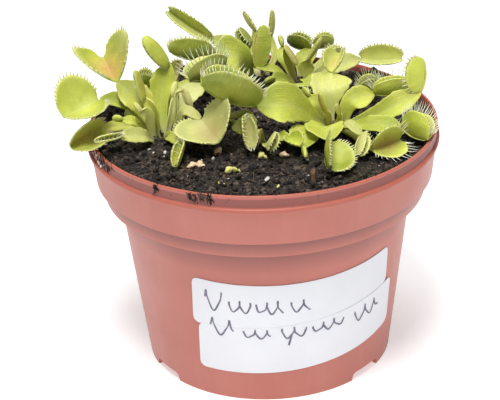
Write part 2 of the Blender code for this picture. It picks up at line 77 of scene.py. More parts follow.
def joinPieces(first, others):
    pick(first)
    for other in others:
        other.select_set(True)
    bpy.ops.object.join()
    return first


def finishPiece(piece, slotName, *cadNodes):
    bake(piece)
    if cadNodes:
        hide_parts(*cadNodes)
    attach(piece, "root")


def gridSheet(name, across, along):
    # a flat grid from -1 to 1 both ways, ready to be laid along a route
    deselectAll()
    bpy.ops.mesh.primitive_grid_add(x_subdivisions=across, y_subdivisions=along, size=2)
    sheet = bpy.context.object
    sheet.name = name
    return sheet


def place(x, y, z):
    # mm from the pot's axis to metres in the frame
    return Vector((potX + x * mm, potY + y * mm, z * mm))


def onRing(angle, radius, height):
    # a spot round the pot's axis, in mm
    return radius * math.cos(angle), radius * math.sin(angle), height


def meshPiece(name, points, faces):
    mesh = bpy.data.meshes.new(name)
    mesh.from_pydata(points, [], faces)
    piece = bpy.data.objects.new(name, mesh)
    bpy.context.scene.collection.objects.link(piece)
    return piece


# material helpers

def newMaterial(name):
    material = bpy.data.materials.new(name)
    material.use_nodes = True
    tree = material.node_tree
    return material, tree, tree.nodes["Principled BSDF"]


def addNode(tree, kind, inputs=None, **settings):
    node = tree.nodes.new(kind)
    for key, value in settings.items():
        setattr(node, key, value)
    for key, value in (inputs or {}).items():
        if isinstance(value, bpy.types.NodeSocket):
            tree.links.new(value, node.inputs[key])
        else:
            node.inputs[key].default_value = value
    return node


def mixColours(tree, factor, first, second):
    node = tree.nodes.new("ShaderNodeMix")
    node.data_type = "RGBA"
    for index, value in ((0, factor), (6, first), (7, second)):
        if isinstance(value, bpy.types.NodeSocket):
            tree.links.new(value, node.inputs[index])
        elif index:
            node.inputs[index].default_value = (*value, 1.0)
        else:
            node.inputs[index].default_value = value
    return node.outputs[2]


def sums(tree, operation, first, second=0.0, clamp=False):
    node = addNode(tree, "ShaderNodeMath", {0: first, 1: second}, operation=operation)
    node.use_clamp = clamp
    return node.outputs[0]


def ramp(tree, value, low, high, outLow=0.0, outHigh=1.0):
    node = addNode(tree, "ShaderNodeMapRange", {0: value, 1: low, 2: high, 3: outLow, 4: outHigh})
    return node.outputs[0]


def noiseOf(tree, vector, scale, detail=3.0, roughness=0.55):
    node = addNode(tree, "ShaderNodeTexNoise", {"Vector": vector, "Scale": scale, "Detail": detail,
                                                "Roughness": roughness})
    return node.outputs["Fac"]


def objectCoords(tree):
    return addNode(tree, "ShaderNodeTexCoord").outputs["Object"]


def stretched(tree, vector, scale):
    return addNode(tree, "ShaderNodeMapping", {"Vector": vector, "Scale": scale}).outputs[0]


def attributeOf(tree, name):
    return addNode(tree, "ShaderNodeAttribute", attribute_name=name).outputs["Fac"]


def bumpFrom(tree, height, strength, distance, before=None):
    inputs = {"Height": height, "Strength": strength, "Distance": distance}
    if before is not None:
        inputs["Normal"] = before
    return addNode(tree, "ShaderNodeBump", inputs).outputs["Normal"]


# camera, floor and light

camera = {
    "distance": 0.6179,     # from the aim point on the pot's axis
    "aimHeight": 0.055,
    "elevation": 26.33,
    "roll": -1.85,
    "lens": 127.8,
    "shift": (-0.0308, -0.0027),
}

lights = {      # place, size and strength, all aimed at the plant
    "keyLight": {"at": (-0.08, -0.40, 1.05), "size": 0.32, "watts": 9.7},
    "fillLight": {"at": (0.34, -0.62, 0.72), "size": 0.6, "watts": 0.9},
    "topLight": {"at": (0.0, 0.16, 1.15), "size": 0.5, "watts": 5.4},
}

studio = {
    "sky": 0.14,
    "aim": 0.06,                      # height that the lights point at
    "floor": (0.72, 0.72, 0.725),
    "floorGlow": 0.5,                 # keeps the shadows faint
    "floorSize": 6.0,
}


def buildStage():
    lens = bpy.data.cameras.new("studioCamera")
    lens.lens = camera["lens"]
    lens.sensor_width = 36.0
    lens.shift_x, lens.shift_y = camera["shift"]
    lens.clip_start = 0.01
    lens.clip_end = 10.0
    eye = bpy.data.objects.new("studioCamera", lens)
    bpy.context.scene.collection.objects.link(eye)
    tilt = math.radians(camera["elevation"])
    turn = Matrix.Rotation(math.pi / 2 - tilt, 4, "X") @ Matrix.Rotation(math.radians(camera["roll"]), 4, "Z")
    spot = Vector((potX, potY - camera["distance"] * math.cos(tilt),
                   camera["aimHeight"] + camera["distance"] * math.sin(tilt)))
    eye.matrix_world = Matrix.Translation(spot) @ turn
    bpy.context.scene.camera = eye

    aim = Vector((potX, potY, studio["aim"]))
    for name, light in lights.items():
        lamp = bpy.data.lights.new(name, "AREA")
        lamp.shape = "DISK"
        lamp.size = light["size"]
        lamp.energy = light["watts"]
        holder = bpy.data.objects.new(name, lamp)
        bpy.context.scene.collection.objects.link(holder)
        holder.location = light["at"]
        holder.rotation_euler = (aim - Vector(light["at"])).to_track_quat("-Z", "Y").to_euler()
    world = bpy.data.worlds.new("studio")
    world.use_nodes = True
    world.node_tree.nodes["Background"].inputs["Color"].default_value = (1.0, 1.0, 1.0, 1.0)
    world.node_tree.nodes["Background"].inputs["Strength"].default_value = studio["sky"]
    bpy.context.scene.world = world
    bpy.context.scene.view_settings.view_transform = "Standard"

    deselectAll()
    bpy.ops.mesh.primitive_plane_add(size=studio["floorSize"])
    floor = bpy.context.object
    floor.name = "floor"
    material, tree, shader = newMaterial("paleFloor")
    shader.inputs["Base Color"].default_value = (*studio["floor"], 1.0)
    shader.inputs["Roughness"].default_value = 0.9
    shader.inputs["Emission Color"].default_value = (1.0, 1.0, 1.0, 1.0)
    shader.inputs["Emission Strength"].default_value = studio["floorGlow"]
    floor.data.materials.append(material)


buildStage()
print("stage ready")


# the pot

pot = {
    "steps": 160,
    "rounding": 0.25,
    # outer profile from the foot up, (radius, height) in mm
    "outer": [(42.9, 0.0), (50.3, 60.2), (55.1, 61.4), (55.8, 66.2), (57.7, 67.4), (59.0, 78.9),
              (59.75, 79.05), (60.0, 79.6), (60.0, 80.3), (59.6, 80.7), (59.05, 80.75), (59.4, 84.8),
              (59.2, 85.0)],
    "inner": [(58.45, 85.0), (58.0, 80.5), (57.8, 79.0), (56.5, 67.4), (54.6, 66.2), (53.9, 61.4), (49.1, 60.2),
              (42.3, 4.8), (0.0, 4.8)],
    "under": [(0.0, 3.4), (41.6, 3.4), (41.3, 0.0)],
    "notches": (-147.0, -40.0, 88.0),
    "notchSize": (14.0, 3.0, 2.1),     # width, height, corner
    "drains": (6, 10.0, 30.0, 3.5),    # how many, first one's angle, circle, radius
    "colour": (0.56, 0.182, 0.138),
    "edgeColour": (0.49, 0.135, 0.092),
    "shadeColour": (0.47, 0.132, 0.100),
    "streakColour": (0.64, 0.24, 0.185),
    # painted shade colour for the collar wall
    "paintedCollarShade": (0.27, 0.078, 0.064),
    "paintedCreaseShade": (0.23, 0.08, 0.072),
    # painted shade colour for the wall under the steps
    "dustColour": (0.06, 0.035, 0.028),
    "creases": [(0.0515, 0.0602), (0.0614, 0.0666)],    # heights in metres that painted shade under the steps fills from and up to
}


def easedLine(points, radius):
    # a small arc at every corner of an open line
    line = [points[0]]
    for before, here, after in zip(points, points[1:], points[2:]):
        here, before, after = Vector(here), Vector(before), Vector(after)
        reach = min(radius, (before - here).length * 0.4, (after - here).length * 0.4)
        start = here + (before - here).normalized() * reach
        end = here + (after - here).normalized() * reach
        for share in (0.0, 0.5, 1.0):
            line.append(tuple(start * (1 - share) ** 2 + here * 2 * share * (1 - share) + end * share ** 2))
    return line + [points[-1]]


def potMaterial():
    material, tree, shader = newMaterial("terracottaPlastic")
    coords = objectCoords(tree)
    height = addNode(tree, "ShaderNodeSeparateXYZ", {0: coords}).outputs["Z"]
    cloud = noiseOf(tree, coords, 38.0, 4.0)
    grain = noiseOf(tree, coords, 900.0, 2.0)
    streaks = noiseOf(tree, stretched(tree, coords, (1.0, 1.0, 0.06)), 160.0, 3.0)
    base = mixColours(tree, ramp(tree, cloud, 0.35, 0.7, 0.0, 0.35), pot["colour"], pot["shadeColour"])
    base = mixColours(tree, ramp(tree, streaks, 0.52, 0.75, 0.0, 0.22), base, pot["streakColour"])
    # thin edges let light through and look brighter
    topEdge = ramp(tree, height, 0.0842, 0.0849)
    bead = sums(tree, "MULTIPLY", ramp(tree, height, 0.0789, 0.0795), ramp(tree, height, 0.0811, 0.0806))
    base = mixColours(tree, sums(tree, "MAXIMUM", topEdge, bead), base, pot["edgeColour"])
    # painted shade: the collar wall between the bead and the top edge is darkened
    collar = sums(tree, "MULTIPLY", ramp(tree, height, 0.0807, 0.0812), ramp(tree, height, 0.0842, 0.0838))
    base = mixColours(tree, sums(tree, "MULTIPLY", collar, 0.9), base, pot["paintedCollarShade"])
    # grime gathers in the creases under the steps
    # painted shade: the wall just under each step is darkened where the ledge's shadow falls
    for low, high in pot["creases"]:
        above = ramp(tree, height, high + 0.0008, high + 0.0002)
        crease = sums(tree, "MULTIPLY", ramp(tree, height, low, high), above)
        base = mixColours(tree, sums(tree, "MULTIPLY", crease, 0.85), base, pot["paintedCreaseShade"])
    # soil dust that sticks near the rim
    dust = sums(tree, "MULTIPLY", ramp(tree, noiseOf(tree, coords, 420.0, 5.0, 0.7), 0.60, 0.68),
                ramp(tree, height, 0.0795, 0.0835, 0.0, 0.9))
    base = mixColours(tree, dust, base, pot["dustColour"])
    tree.links.new(base, shader.inputs["Base Color"])
    tree.links.new(ramp(tree, cloud, 0.3, 0.7, 0.38, 0.5), shader.inputs["Roughness"])
    shader.inputs["Subsurface Weight"].default_value = 0.12
    shader.inputs["Subsurface Radius"].default_value = (1.0, 0.35, 0.2)
    shader.inputs["Subsurface Scale"].default_value = 0.002
    lumps = bumpFrom(tree, cloud, 0.25, 0.0006)
    tree.links.new(bumpFrom(tree, grain, 0.18, 0.00006, lumps), shader.inputs["Normal"])
    return material


def notchCutters():
    width, tall, corner = pot["notchSize"]
    foot = pot["outer"][0][0]
    cutters = []
    for azimuth in pot["notches"]:
        deselectAll()
        turn = math.radians(azimuth)
        spot = place(*onRing(turn, foot, tall - 3.0))
        bpy.ops.mesh.primitive_cube_add(size=1.0, location=spot, rotation=(0.0, 0.0, turn))
        block = bpy.context.object
        block.scale = (8.0 * mm, width * mm, 6.0 * mm)
        bpy.ops.object.transform_apply(location=False, rotation=False, scale=True)
        bpy.ops.object.mode_set(mode="EDIT")
        bpy.ops.mesh.select_all(action="SELECT")
        bpy.ops.mesh.bevel(offset=corner * mm, segments=5, affect="EDGES")
        bpy.ops.object.mode_set(mode="OBJECT")
        cutters.append(block)
    return cutters


def drainCutters():
    count, first, circle, radius = pot["drains"]
    cutters = []
    for i in range(count):
        deselectAll()
        spot = place(*onRing(math.radians(first + 360.0 * i / count), circle, 4.1))
        bpy.ops.mesh.primitive_cylinder_add(vertices=40, radius=radius * mm, depth=4.0 * mm, location=spot)
        cutters.append(bpy.context.object)
    return cutters


def buildPot():
    line = []
    for part in ("outer", "inner", "under"):
        line += easedLine(pot[part], pot["rounding"])
    points = [place(r, 0.0, z) for r, z in line]
    mesh = bpy.data.meshes.new("potShell")
    mesh.from_pydata(points, [(i, (i + 1) % len(points)) for i in range(len(points))], [])
    body = bpy.data.objects.new("potShell", mesh)
    bpy.context.scene.collection.objects.link(body)
    pick(body)
    bpy.ops.object.mode_set(mode="EDIT")
    bpy.ops.mesh.select_all(action="SELECT")
    bpy.ops.mesh.spin(steps=pot["steps"], angle=2 * math.pi, center=(potX, potY, 0.0), axis=(0.0, 0.0, 1.0))
    bpy.ops.mesh.select_all(action="SELECT")
    bpy.ops.mesh.remove_doubles(threshold=1e-6)
    bpy.ops.mesh.normals_make_consistent(inside=False)
    bpy.ops.object.mode_set(mode="OBJECT")
    cutters = notchCutters() + drainCutters()
    for cutter in cutters:
        cut = body.modifiers.new("cut", "BOOLEAN")
        cut.operation = "DIFFERENCE"
        cut.object = cutter
        cut.solver = "EXACT"
    applyAll(body)
    for cutter in cutters:
        bpy.data.objects.remove(cutter, do_unlink=True)
    pick(body)
    bpy.ops.object.shade_smooth_by_angle(angle=math.radians(32))
    body.data.materials.append(potMaterial())
    finishPiece(body, "pot_plastic", "pot")


buildPot()
print("pot ready")


# the soil

soil = {
    "rings": 64,
    "segments": 200,
    "mouth": 57.6,       # radius where it meets the wall, mm
    "middle": 83.9,      # height at the pot's axis
    "slope": -0.028,     # it is heaped towards the left
    "heap": 0.5,
    "lumps": 1.45,       # how far the top is thrown up and down
    # radius and height of its sides, from the mouth down to the pot's floor
    "sides": [(57.6, 80.7), (57.3, 79.0), (56.1, 67.2), (54.2, 66.0), (53.4, 61.6), (48.7, 60.4),
              (41.9, 5.1)],
    "seed": 11,
    "crumbs": 3400,
    "smallCrumb": (0.5, 1.3),
    "largeCrumb": (1.3, 3.2),
    "smallShare": 0.7,
    "fibres": 800,
    "perlite": 60,
    "collar": 59.45,     # radius of the pot's collar, where soil is caught
    # azimuth and spread in degrees, then how many crumbs are spilt over the collar there
    "spilt": [(-109, 4.0, 22), (-112, 2.4, 14), (-126, 1.2, 14), (-152, 8, 50), (-163, 4, 44), (-60, 30, 26)],
    # the same for strands that hang on it
    "caught": [(-107, 1.4, 14), (-110, 2.2, 16), (-113, 1.6, 12), (-126, 0.8, 10), (-152, 8, 22)],
    "backClod": (43.0, 37.0, 60),        # x, y and crumbs of the clod behind the right rosette
    "bitten": (19.5, -46.5, 86.2, 34),   # soil that the front trap has bitten into, its place and crumbs
    "stub": (15.3, -45.3, 84.4),
    "stubSize": (1.0, 5.6),              # radius, height
}

# grains that stand out: x, y, size
grains = {
    "white": [(0.7, -45.7, 2.6), (1.7, -24.9, 1.7), (-37.8, -21.2, 1.4), (-32.5, -22.9, 1.6),
              (-32.3, -28.3, 1.2), (-16.6, -30.8, 1.2), (14.0, -30.5, 1.3), (38.0, -22.0, 2.0),
              (39.6, -25.0, 1.5), (35.5, -24.0, 1.3)],
    "tan": [(-15.1, -25.7, 3.4), (-23.6, -37.2, 3.0), (-22.4, -36.0, 3.2), (-20.6, -35.6, 3.1),
            (-19.7, -36.9, 2.4), (6.3, -27.9, 2.6), (7.2, -29.0, 2.3), (5.6, -26.9, 1.6)],
    "moss": [(-11.4, -41.4, 3.0), (-9.6, -40.2, 3.0), (-8.6, -39.1, 2.0), (-0.9, -28.9, 2.6),
             (0.4, -29.4, 1.9), (4.1, -49.9, 1.4), (-14.4, -48.9, 1.8), (-13.0, -48.6, 1.3)],
    "onCollar": [(-156.0, 82.2, 1.9), (-154.5, 81.6, 1.3), (-158.0, 84.0, 1.0)],     # azimuth, height, size
}


def soilHeight(x, y):
    heap = soil["heap"] * math.sin(0.11 * x + 1.0) * math.cos(0.09 * y)
    return soil["middle"] + soil["slope"] * x + heap


def soilTop(x, y):
    # the real surface, with clods and pits
    spot = Vector((x, y, 0.0))
    clods = noise.fractal(spot * 0.16, 1.0, 2.0, 4) * 0.9 + noise.noise(spot * 0.9) * 0.45
    crumb = abs(noise.noise(spot * 1.7 + Vector((7.0, 3.0, 1.0)))) * 0.55
    return soilHeight(x, y) + soil["lumps"] * (clods * 0.8 + crumb) - 0.2


def soilMaterial():
    material, tree, shader = newMaterial("darkPeat")
    coords = objectCoords(tree)
    coarse = noiseOf(tree, coords, 90.0, 5.0, 0.65)
    fine = noiseOf(tree, coords, 700.0, 6.0, 0.75)
    specks = addNode(tree, "ShaderNodeTexVoronoi", {"Vector": coords, "Scale": 900.0}).outputs["Distance"]
    base = mixColours(tree, ramp(tree, fine, 0.42, 0.66), (0.003, 0.0022, 0.002), (0.062, 0.043, 0.032))
    base = mixColours(tree, ramp(tree, coarse, 0.54, 0.75, 0.0, 0.5), base, (0.075, 0.054, 0.034))
    base = mixColours(tree, ramp(tree, noiseOf(tree, coords, 60.0, 2.0), 0.56, 0.72, 0.0, 0.45), base,
                      (0.045, 0.055, 0.012))
    base = mixColours(tree, ramp(tree, noiseOf(tree, coords, 240.0, 3.0, 0.7), 0.50, 0.42, 0.0, 0.85), base,
                      (0.003, 0.0022, 0.002))
    bits = noiseOf(tree, coords, 380.0, 2.0, 0.8)
    base = mixColours(tree, ramp(tree, bits, 0.57, 0.61, 0.0, 0.75), base, (0.150, 0.105, 0.075))
    base = mixColours(tree, ramp(tree, specks, 0.2, 0.06, 0.0, 0.65), base, (0.26, 0.20, 0.15))
    tree.links.new(base, shader.inputs["Base Color"])
    shader.inputs["Roughness"].default_value = 0.9
    rough = bumpFrom(tree, coarse, 0.8, 0.0012)
    tree.links.new(bumpFrom(tree, fine, 1.0, 0.0007, rough), shader.inputs["Normal"])
    return material


def speckMaterial(name, light, dark, rough=0.8, scale=800.0):
    material, tree, shader = newMaterial(name)
    coords = objectCoords(tree)
    cloud = noiseOf(tree, coords, scale, 4.0, 0.6)
    base = mixColours(tree, ramp(tree, cloud, 0.3, 0.7), light, dark)
    tree.links.new(base, shader.inputs["Base Color"])
    shader.inputs["Roughness"].default_value = rough
    tree.links.new(bumpFrom(tree, cloud, 0.6, 0.0004), shader.inputs["Normal"])
    return material


def modelChunk(name, detail, seed, squash=0.7):
    # one rough lump, about 1 unit across, copied over and over
    deselectAll()
    bpy.ops.mesh.primitive_ico_sphere_add(subdivisions=detail, radius=0.5)
    chunk = bpy.context.object
    chunk.name = name
    for vertex in chunk.data.vertices:
        push = 1.0 + 0.55 * noise.noise(vertex.co * 2.2 + Vector((seed, seed * 0.3, 0.0)))
        vertex.co = Vector((vertex.co.x * push, vertex.co.y * push, vertex.co.z * push * squash))
    return chunk


def modelFibre():
    # one thin straight strand along X, cut into four lengths
    deselectAll()
    bpy.ops.mesh.primitive_cylinder_add(vertices=4, radius=0.5, depth=1.0, rotation=(0.0, math.pi / 2, 0.0))
    strand = bpy.context.object
    bpy.ops.object.transform_apply(location=True, rotation=True, scale=True)
    for share in (-0.25, 0.0, 0.25):
        pick(strand)
        bpy.ops.object.mode_set(mode="EDIT")
        bpy.ops.mesh.select_all(action="SELECT")
        bpy.ops.mesh.bisect(plane_co=(share, 0.0, 0.0), plane_no=(1.0, 0.0, 0.0))
        bpy.ops.object.mode_set(mode="OBJECT")
    return strand


def removeModels(models):
    for model in models:
        bpy.data.objects.remove(model, do_unlink=True)


def scatter(name, models, spots, material):
    # copies of the models, one for every (place, turn, scale) in mm, in one mesh
    points = []
    faces = []
    for i, (spot, turn, size) in enumerate(spots):
        model = models[i % len(models)].data
        start = len(points)
        stretch = Matrix.Diagonal((*[s * mm for s in size], 1.0))
        shape = Matrix.Translation(place(*spot)) @ turn.to_4x4() @ stretch
        points += [shape @ vertex.co for vertex in model.vertices]
        faces += [[start + v for v in polygon.vertices] for polygon in model.polygons]
    piece = meshPiece(name, points, faces)
    piece.data.shade_smooth()
    piece.data.materials.append(material)
    return piece


def turned(chance):
    return Matrix.Rotation(chance.uniform(0, 2 * math.pi), 3, "Z") @ Matrix.Rotation(
        chance.uniform(-0.9, 0.9), 3, "X") @ Matrix.Rotation(chance.uniform(-0.9, 0.9), 3, "Y")


def buildSoilBody(peat):
    deselectAll()
    bpy.ops.mesh.primitive_grid_add(x_subdivisions=soil["segments"], y_subdivisions=soil["rings"], size=2)
    body = bpy.context.object
    body.name = "soilBody"
    for vertex in body.data.vertices:      # the grid is rolled up into a disc
        angle = math.pi * vertex.co.x
        radius = soil["mouth"] * ((1 - vertex.co.y) / 2) ** 0.75
        if vertex.co.y > 0.999:
            radius = 0.02
        x, y = radius * math.cos(angle), radius * math.sin(angle)
        vertex.co = place(x, y, soilTop(x, y))
    # the sides go down inside the wall to the pot's floor
    pick(body)
    bpy.ops.object.mode_set(mode="EDIT")
    bpy.ops.mesh.select_all(action="SELECT")
    bpy.ops.mesh.remove_doubles(threshold=1e-7)
    bpy.ops.mesh.select_all(action="DESELECT")
    bpy.ops.mesh.select_mode(type="EDGE")
    bpy.ops.object.mode_set(mode="OBJECT")
    limit = (soil["mouth"] - 0.05) * mm
    for edge in body.data.edges:
        ends = [body.data.vertices[v].co for v in edge.vertices]
        edge.select = all((Vector((e.x - potX, e.y - potY))).length > limit for e in ends)
    radius = soil["mouth"]
    for wall, height in soil["sides"]:
        bpy.ops.object.mode_set(mode="EDIT")
        bpy.ops.mesh.extrude_region_move(TRANSFORM_OT_translate={"value": (0.0, 0.0, -0.1 * mm)})
        bpy.ops.object.mode_set(mode="OBJECT")
        for vertex in body.data.vertices:
            if vertex.select:
                out = Vector((vertex.co.x - potX, vertex.co.y - potY)) * (wall / radius)
                vertex.co = Vector((potX + out.x, potY + out.y, height * mm))
        radius = wall
    bpy.ops.object.mode_set(mode="EDIT")
    bpy.ops.mesh.edge_face_add()
    bpy.ops.mesh.select_all(action="SELECT")
    bpy.ops.mesh.normals_make_consistent(inside=False)
    bpy.ops.object.mode_set(mode="OBJECT")
    body.data.shade_smooth()
    body.data.materials.append(peat)
    finishPiece(body, "soil_peat", "soil")


def buildCrumbs(chance, peat):
    clods = [modelChunk(f"clod{i}", 1, 3.1 * i) for i in range(4)]
    mouth = soil["mouth"]
    spots = []
    while len(spots) < soil["crumbs"]:
        x, y = chance.uniform(-57, 57), chance.uniform(-57, 57)
        away = math.hypot(x, y)
        if away > mouth - 0.4:
            continue
        kind = "smallCrumb" if chance.random() < soil["smallShare"] else "largeCrumb"
        size = chance.uniform(*soil[kind])
        if away + size * 0.6 > mouth:
            continue
        flat = (size, size * chance.uniform(0.6, 1.0), size * chance.uniform(0.6, 1.0))
        spots.append(((x, y, soilTop(x, y) + size * 0.18), turned(chance), flat))
    for azimuth, spread, amount in soil["spilt"]:
        for i in range(amount):
            angle = math.radians(azimuth + chance.gauss(0, spread / 2))
            size = chance.uniform(0.25, 0.7)
            drop = chance.random() ** 2 * (0.4 if spread > 20 else 1.0)
            onTop = drop < 0.4
            radius = 58.3 + chance.uniform(-1.2, 0.6) if onTop else 59.5
            height = 85.2 if onTop else 85.0 - (drop - 0.4) * 6.5
            spots.append((onRing(angle, radius, height), turned(chance), (size, size, size * 0.7)))
    clodX, clodY, amount = soil["backClod"]
    for i in range(amount):
        x, y = clodX + chance.gauss(0, 4.5), clodY + chance.gauss(0, 2.6)
        if math.hypot(x, y) > 56:
            continue
        size = chance.uniform(1.2, 3.2)
        rise = max(0.0, 5.0 - 0.06 * (x - clodX) ** 2) * chance.random()
        spots.append(((x, y, soilTop(x, y) + rise), turned(chance), (size, size, size)))
    biteX, biteY, biteZ, amount = soil["bitten"]
    for i in range(amount):
        spot = (biteX + chance.gauss(0, 1.6), biteY + chance.gauss(0, 0.9), biteZ + abs(chance.gauss(0, 1.1)))
        size = chance.uniform(0.5, 1.2)
        spots.append((spot, turned(chance), (size, size, size * 0.8)))
    finishPiece(scatter("soilCrumbs", clods, spots, peat), "soil_peat")
    removeModels(clods)


def buildFibres(chance, peat):
    strand = modelFibre()
    loose = []
    while len(loose) < soil["fibres"]:
        x, y = chance.uniform(-57, 57), chance.uniform(-57, 57)
        long = chance.uniform(1.2, 5.0)
        if math.hypot(x, y) + long / 2 > soil["mouth"] - 0.2:
            continue
        turn = Matrix.Rotation(chance.uniform(0, math.pi), 3, "Z")
        turn = turn @ Matrix.Rotation(chance.gauss(0, 0.35), 3, "Y")
        thick = chance.uniform(0.12, 0.34)
        loose.append(((x, y, soilTop(x, y) + 0.3), turn, (long, thick, thick * 0.6)))
    caught = []
    for azimuth, spread, amount in soil["caught"]:
        for i in range(amount):
            angle = math.radians(azimuth + chance.gauss(0, spread / 2))
            long = chance.uniform(1.2, 3.2)
            lean = chance.gauss(1.2, 0.5)
            turn = Matrix.Rotation(angle + math.pi / 2, 3, "Z") @ Matrix.Rotation(lean, 3, "Y")
            thick = chance.uniform(0.16, 0.34)
            height = chance.uniform(82.2, 84.9)
            caught.append((onRing(angle, soil["collar"], height), turn, (long, thick, thick)))
    straw = speckMaterial("peatFibre", (0.20, 0.13, 0.075), (0.022, 0.013, 0.009), 0.8, 240.0)
    fibres = scatter("soilFibres", [strand], loose, straw)
    finishPiece(joinPieces(fibres, [scatter("collarStrands", [strand], caught, peat)]), "soil_peat")
    removeModels([strand])


def modelStub():
    # a dead leaf base that stands in the soil
    radius, height = soil["stubSize"]
    middle = place(*soil["stub"])
    deselectAll()
    bpy.ops.mesh.primitive_cylinder_add(vertices=9, radius=radius * mm, depth=height * mm, location=middle)
    stub = bpy.context.object
    stub.name = "deadStub"
    bpy.ops.object.transform_apply(location=True, rotation=True, scale=True)
    bpy.ops.object.mode_set(mode="EDIT")
    bpy.ops.mesh.select_all(action="SELECT")
    bpy.ops.mesh.subdivide(number_cuts=3)
    bpy.ops.object.mode_set(mode="OBJECT")
    for vertex in stub.data.vertices:
        out = vertex.co - middle
        up = out.z / (height * mm) + 0.5
        thin = 1.0 - 0.35 * up + 0.25 * noise.noise(vertex.co * 900.0)
        rough = 0.5 * mm * noise.noise(vertex.co * 700.0)
        vertex.co = middle + Vector((out.x * thin, out.y * thin, out.z + rough))
    stub.data.shade_smooth()
    stub.data.materials.append(speckMaterial("deadStalk", (0.30, 0.17, 0.09), (0.10, 0.05, 0.03)))
    return stub


def placedGrains(chance, kind, sink, flat):
    # sink is how much of its size a grain stands up by, flat its height over its size
    return [((x, y, soilTop(x, y) + size * sink), turned(chance), (size, size * 0.8, size * flat))
            for x, y, size in grains[kind]]


def buildGrit(chance):
    models = [modelChunk(f"grain{i}", 2, 9.7 + 2.3 * i, 0.75) for i in range(3)]
    spots = []
    while len(spots) < soil["perlite"]:
        x, y = chance.uniform(-55, 55), chance.uniform(-55, 55)
        if math.hypot(x, y) < 56:
            size = chance.uniform(0.35, 0.9)
            spots.append(((x, y, soilTop(x, y) + size * 0.2), turned(chance), (size,) * 3))
    spots += placedGrains(chance, "white", 0.25, 0.7)
    for azimuth, height, size in grains["onCollar"]:
        spots.append((onRing(math.radians(azimuth), 59.3, height), turned(chance), (size,) * 3))
    perlite = scatter("soilGrit", models, spots,
                      speckMaterial("perlite", (0.80, 0.78, 0.73), (0.42, 0.38, 0.33)))
    tan = scatter("tanGrit", models, placedGrains(chance, "tan", 0.3, 0.75),
                  speckMaterial("tanGrit", (0.92, 0.76, 0.50), (0.62, 0.38, 0.20), 0.7, 600.0))
    moss = scatter("mossBits", models, placedGrains(chance, "moss", 0.3, 0.8),
                   speckMaterial("mossBits", (0.82, 0.76, 0.28), (0.42, 0.42, 0.07), 0.6, 600.0))
    finishPiece(joinPieces(perlite, [tan, moss, modelStub()]), "soil_peat")
    removeModels(models)


def buildSoil():
    peat = soilMaterial()
    chance = random.Random(soil["seed"])
    buildSoilBody(peat)
    buildCrumbs(chance, peat)
    buildFibres(chance, peat)
    buildGrit(chance)


buildSoil()
print("soil ready")


# the stickers

stickers = {
    "azimuth": -79.0,
    "height": 31.0,
    "corner": 2.4,
    "foot": 42.9,
    "bodyTop": (50.3, 60.2),
    "paper": 0.12,    # how thick it is
    # (left end, its foot, its head), (right end, its foot, its head), how far its face stands off the wall
    "upperSticker": {"solid": "label_upper", "left": (-35.6, -2.9, 15.9), "right": (38.2, 2.1, 17.3),
                     "face": 0.18},
    "lowerSticker": {"solid": "label_lower", "left": (-33.5, -21.2, -2.3), "right": (41.5, -16.4, 2.7),
                     "face": 0.32},
    "pen": 0.32,      # half the width of a pen stroke
    "ink": 0.03,      # and its thickness
}


def onWall(across, up, clear):
    # rolls a flat point out onto the tapered wall
    top, tall = stickers["bodyTop"]
    taper = (top - stickers["foot"]) / tall
    lean = math.sin(math.atan(taper))
    start = (stickers["foot"] + taper * stickers["height"]) / lean
    reach = math.hypot(across, start + up)
    angle = math.radians(stickers["azimuth"]) + math.asin(across / reach) / lean
    radius = reach * lean
    return place((radius + clear) * math.cos(angle), (radius + clear) * math.sin(angle),
                 (radius - stickers["foot"]) / taper)


def paperMaterial():
    material, tree, shader = newMaterial("labelPaper")
    coords = objectCoords(tree)
    cloud = noiseOf(tree, coords, 60.0, 3.0)
    fibre = noiseOf(tree, coords, 1500.0, 3.0, 0.7)
    base = mixColours(tree, ramp(tree, cloud, 0.35, 0.7), (0.87, 0.885, 0.925), (0.83, 0.845, 0.89))
    base = mixColours(tree, ramp(tree, fibre, 0.4, 0.7, 0.0, 0.12), base, (0.76, 0.77, 0.83))
    tree.links.new(base, shader.inputs["Base Color"])
    tree.links.new(ramp(tree, fibre, 0.3, 0.7, 0.42, 0.6), shader.inputs["Roughness"])
    creases = bumpFrom(tree, cloud, 0.15, 0.0004)
    tree.links.new(bumpFrom(tree, fibre, 0.12, 0.00004, creases), shader.inputs["Normal"])
    return material


def inkMaterial():
    material, tree, shader = newMaterial("greyInk")
    coords = objectCoords(tree)
    base = mixColours(tree, ramp(tree, noiseOf(tree, coords, 900.0, 3.0), 0.3, 0.75), (0.10, 0.085, 0.135),
                      (0.27, 0.24, 0.33))
    tree.links.new(base, shader.inputs["Base Color"])
    shader.inputs["Roughness"].default_value = 0.5
    return material


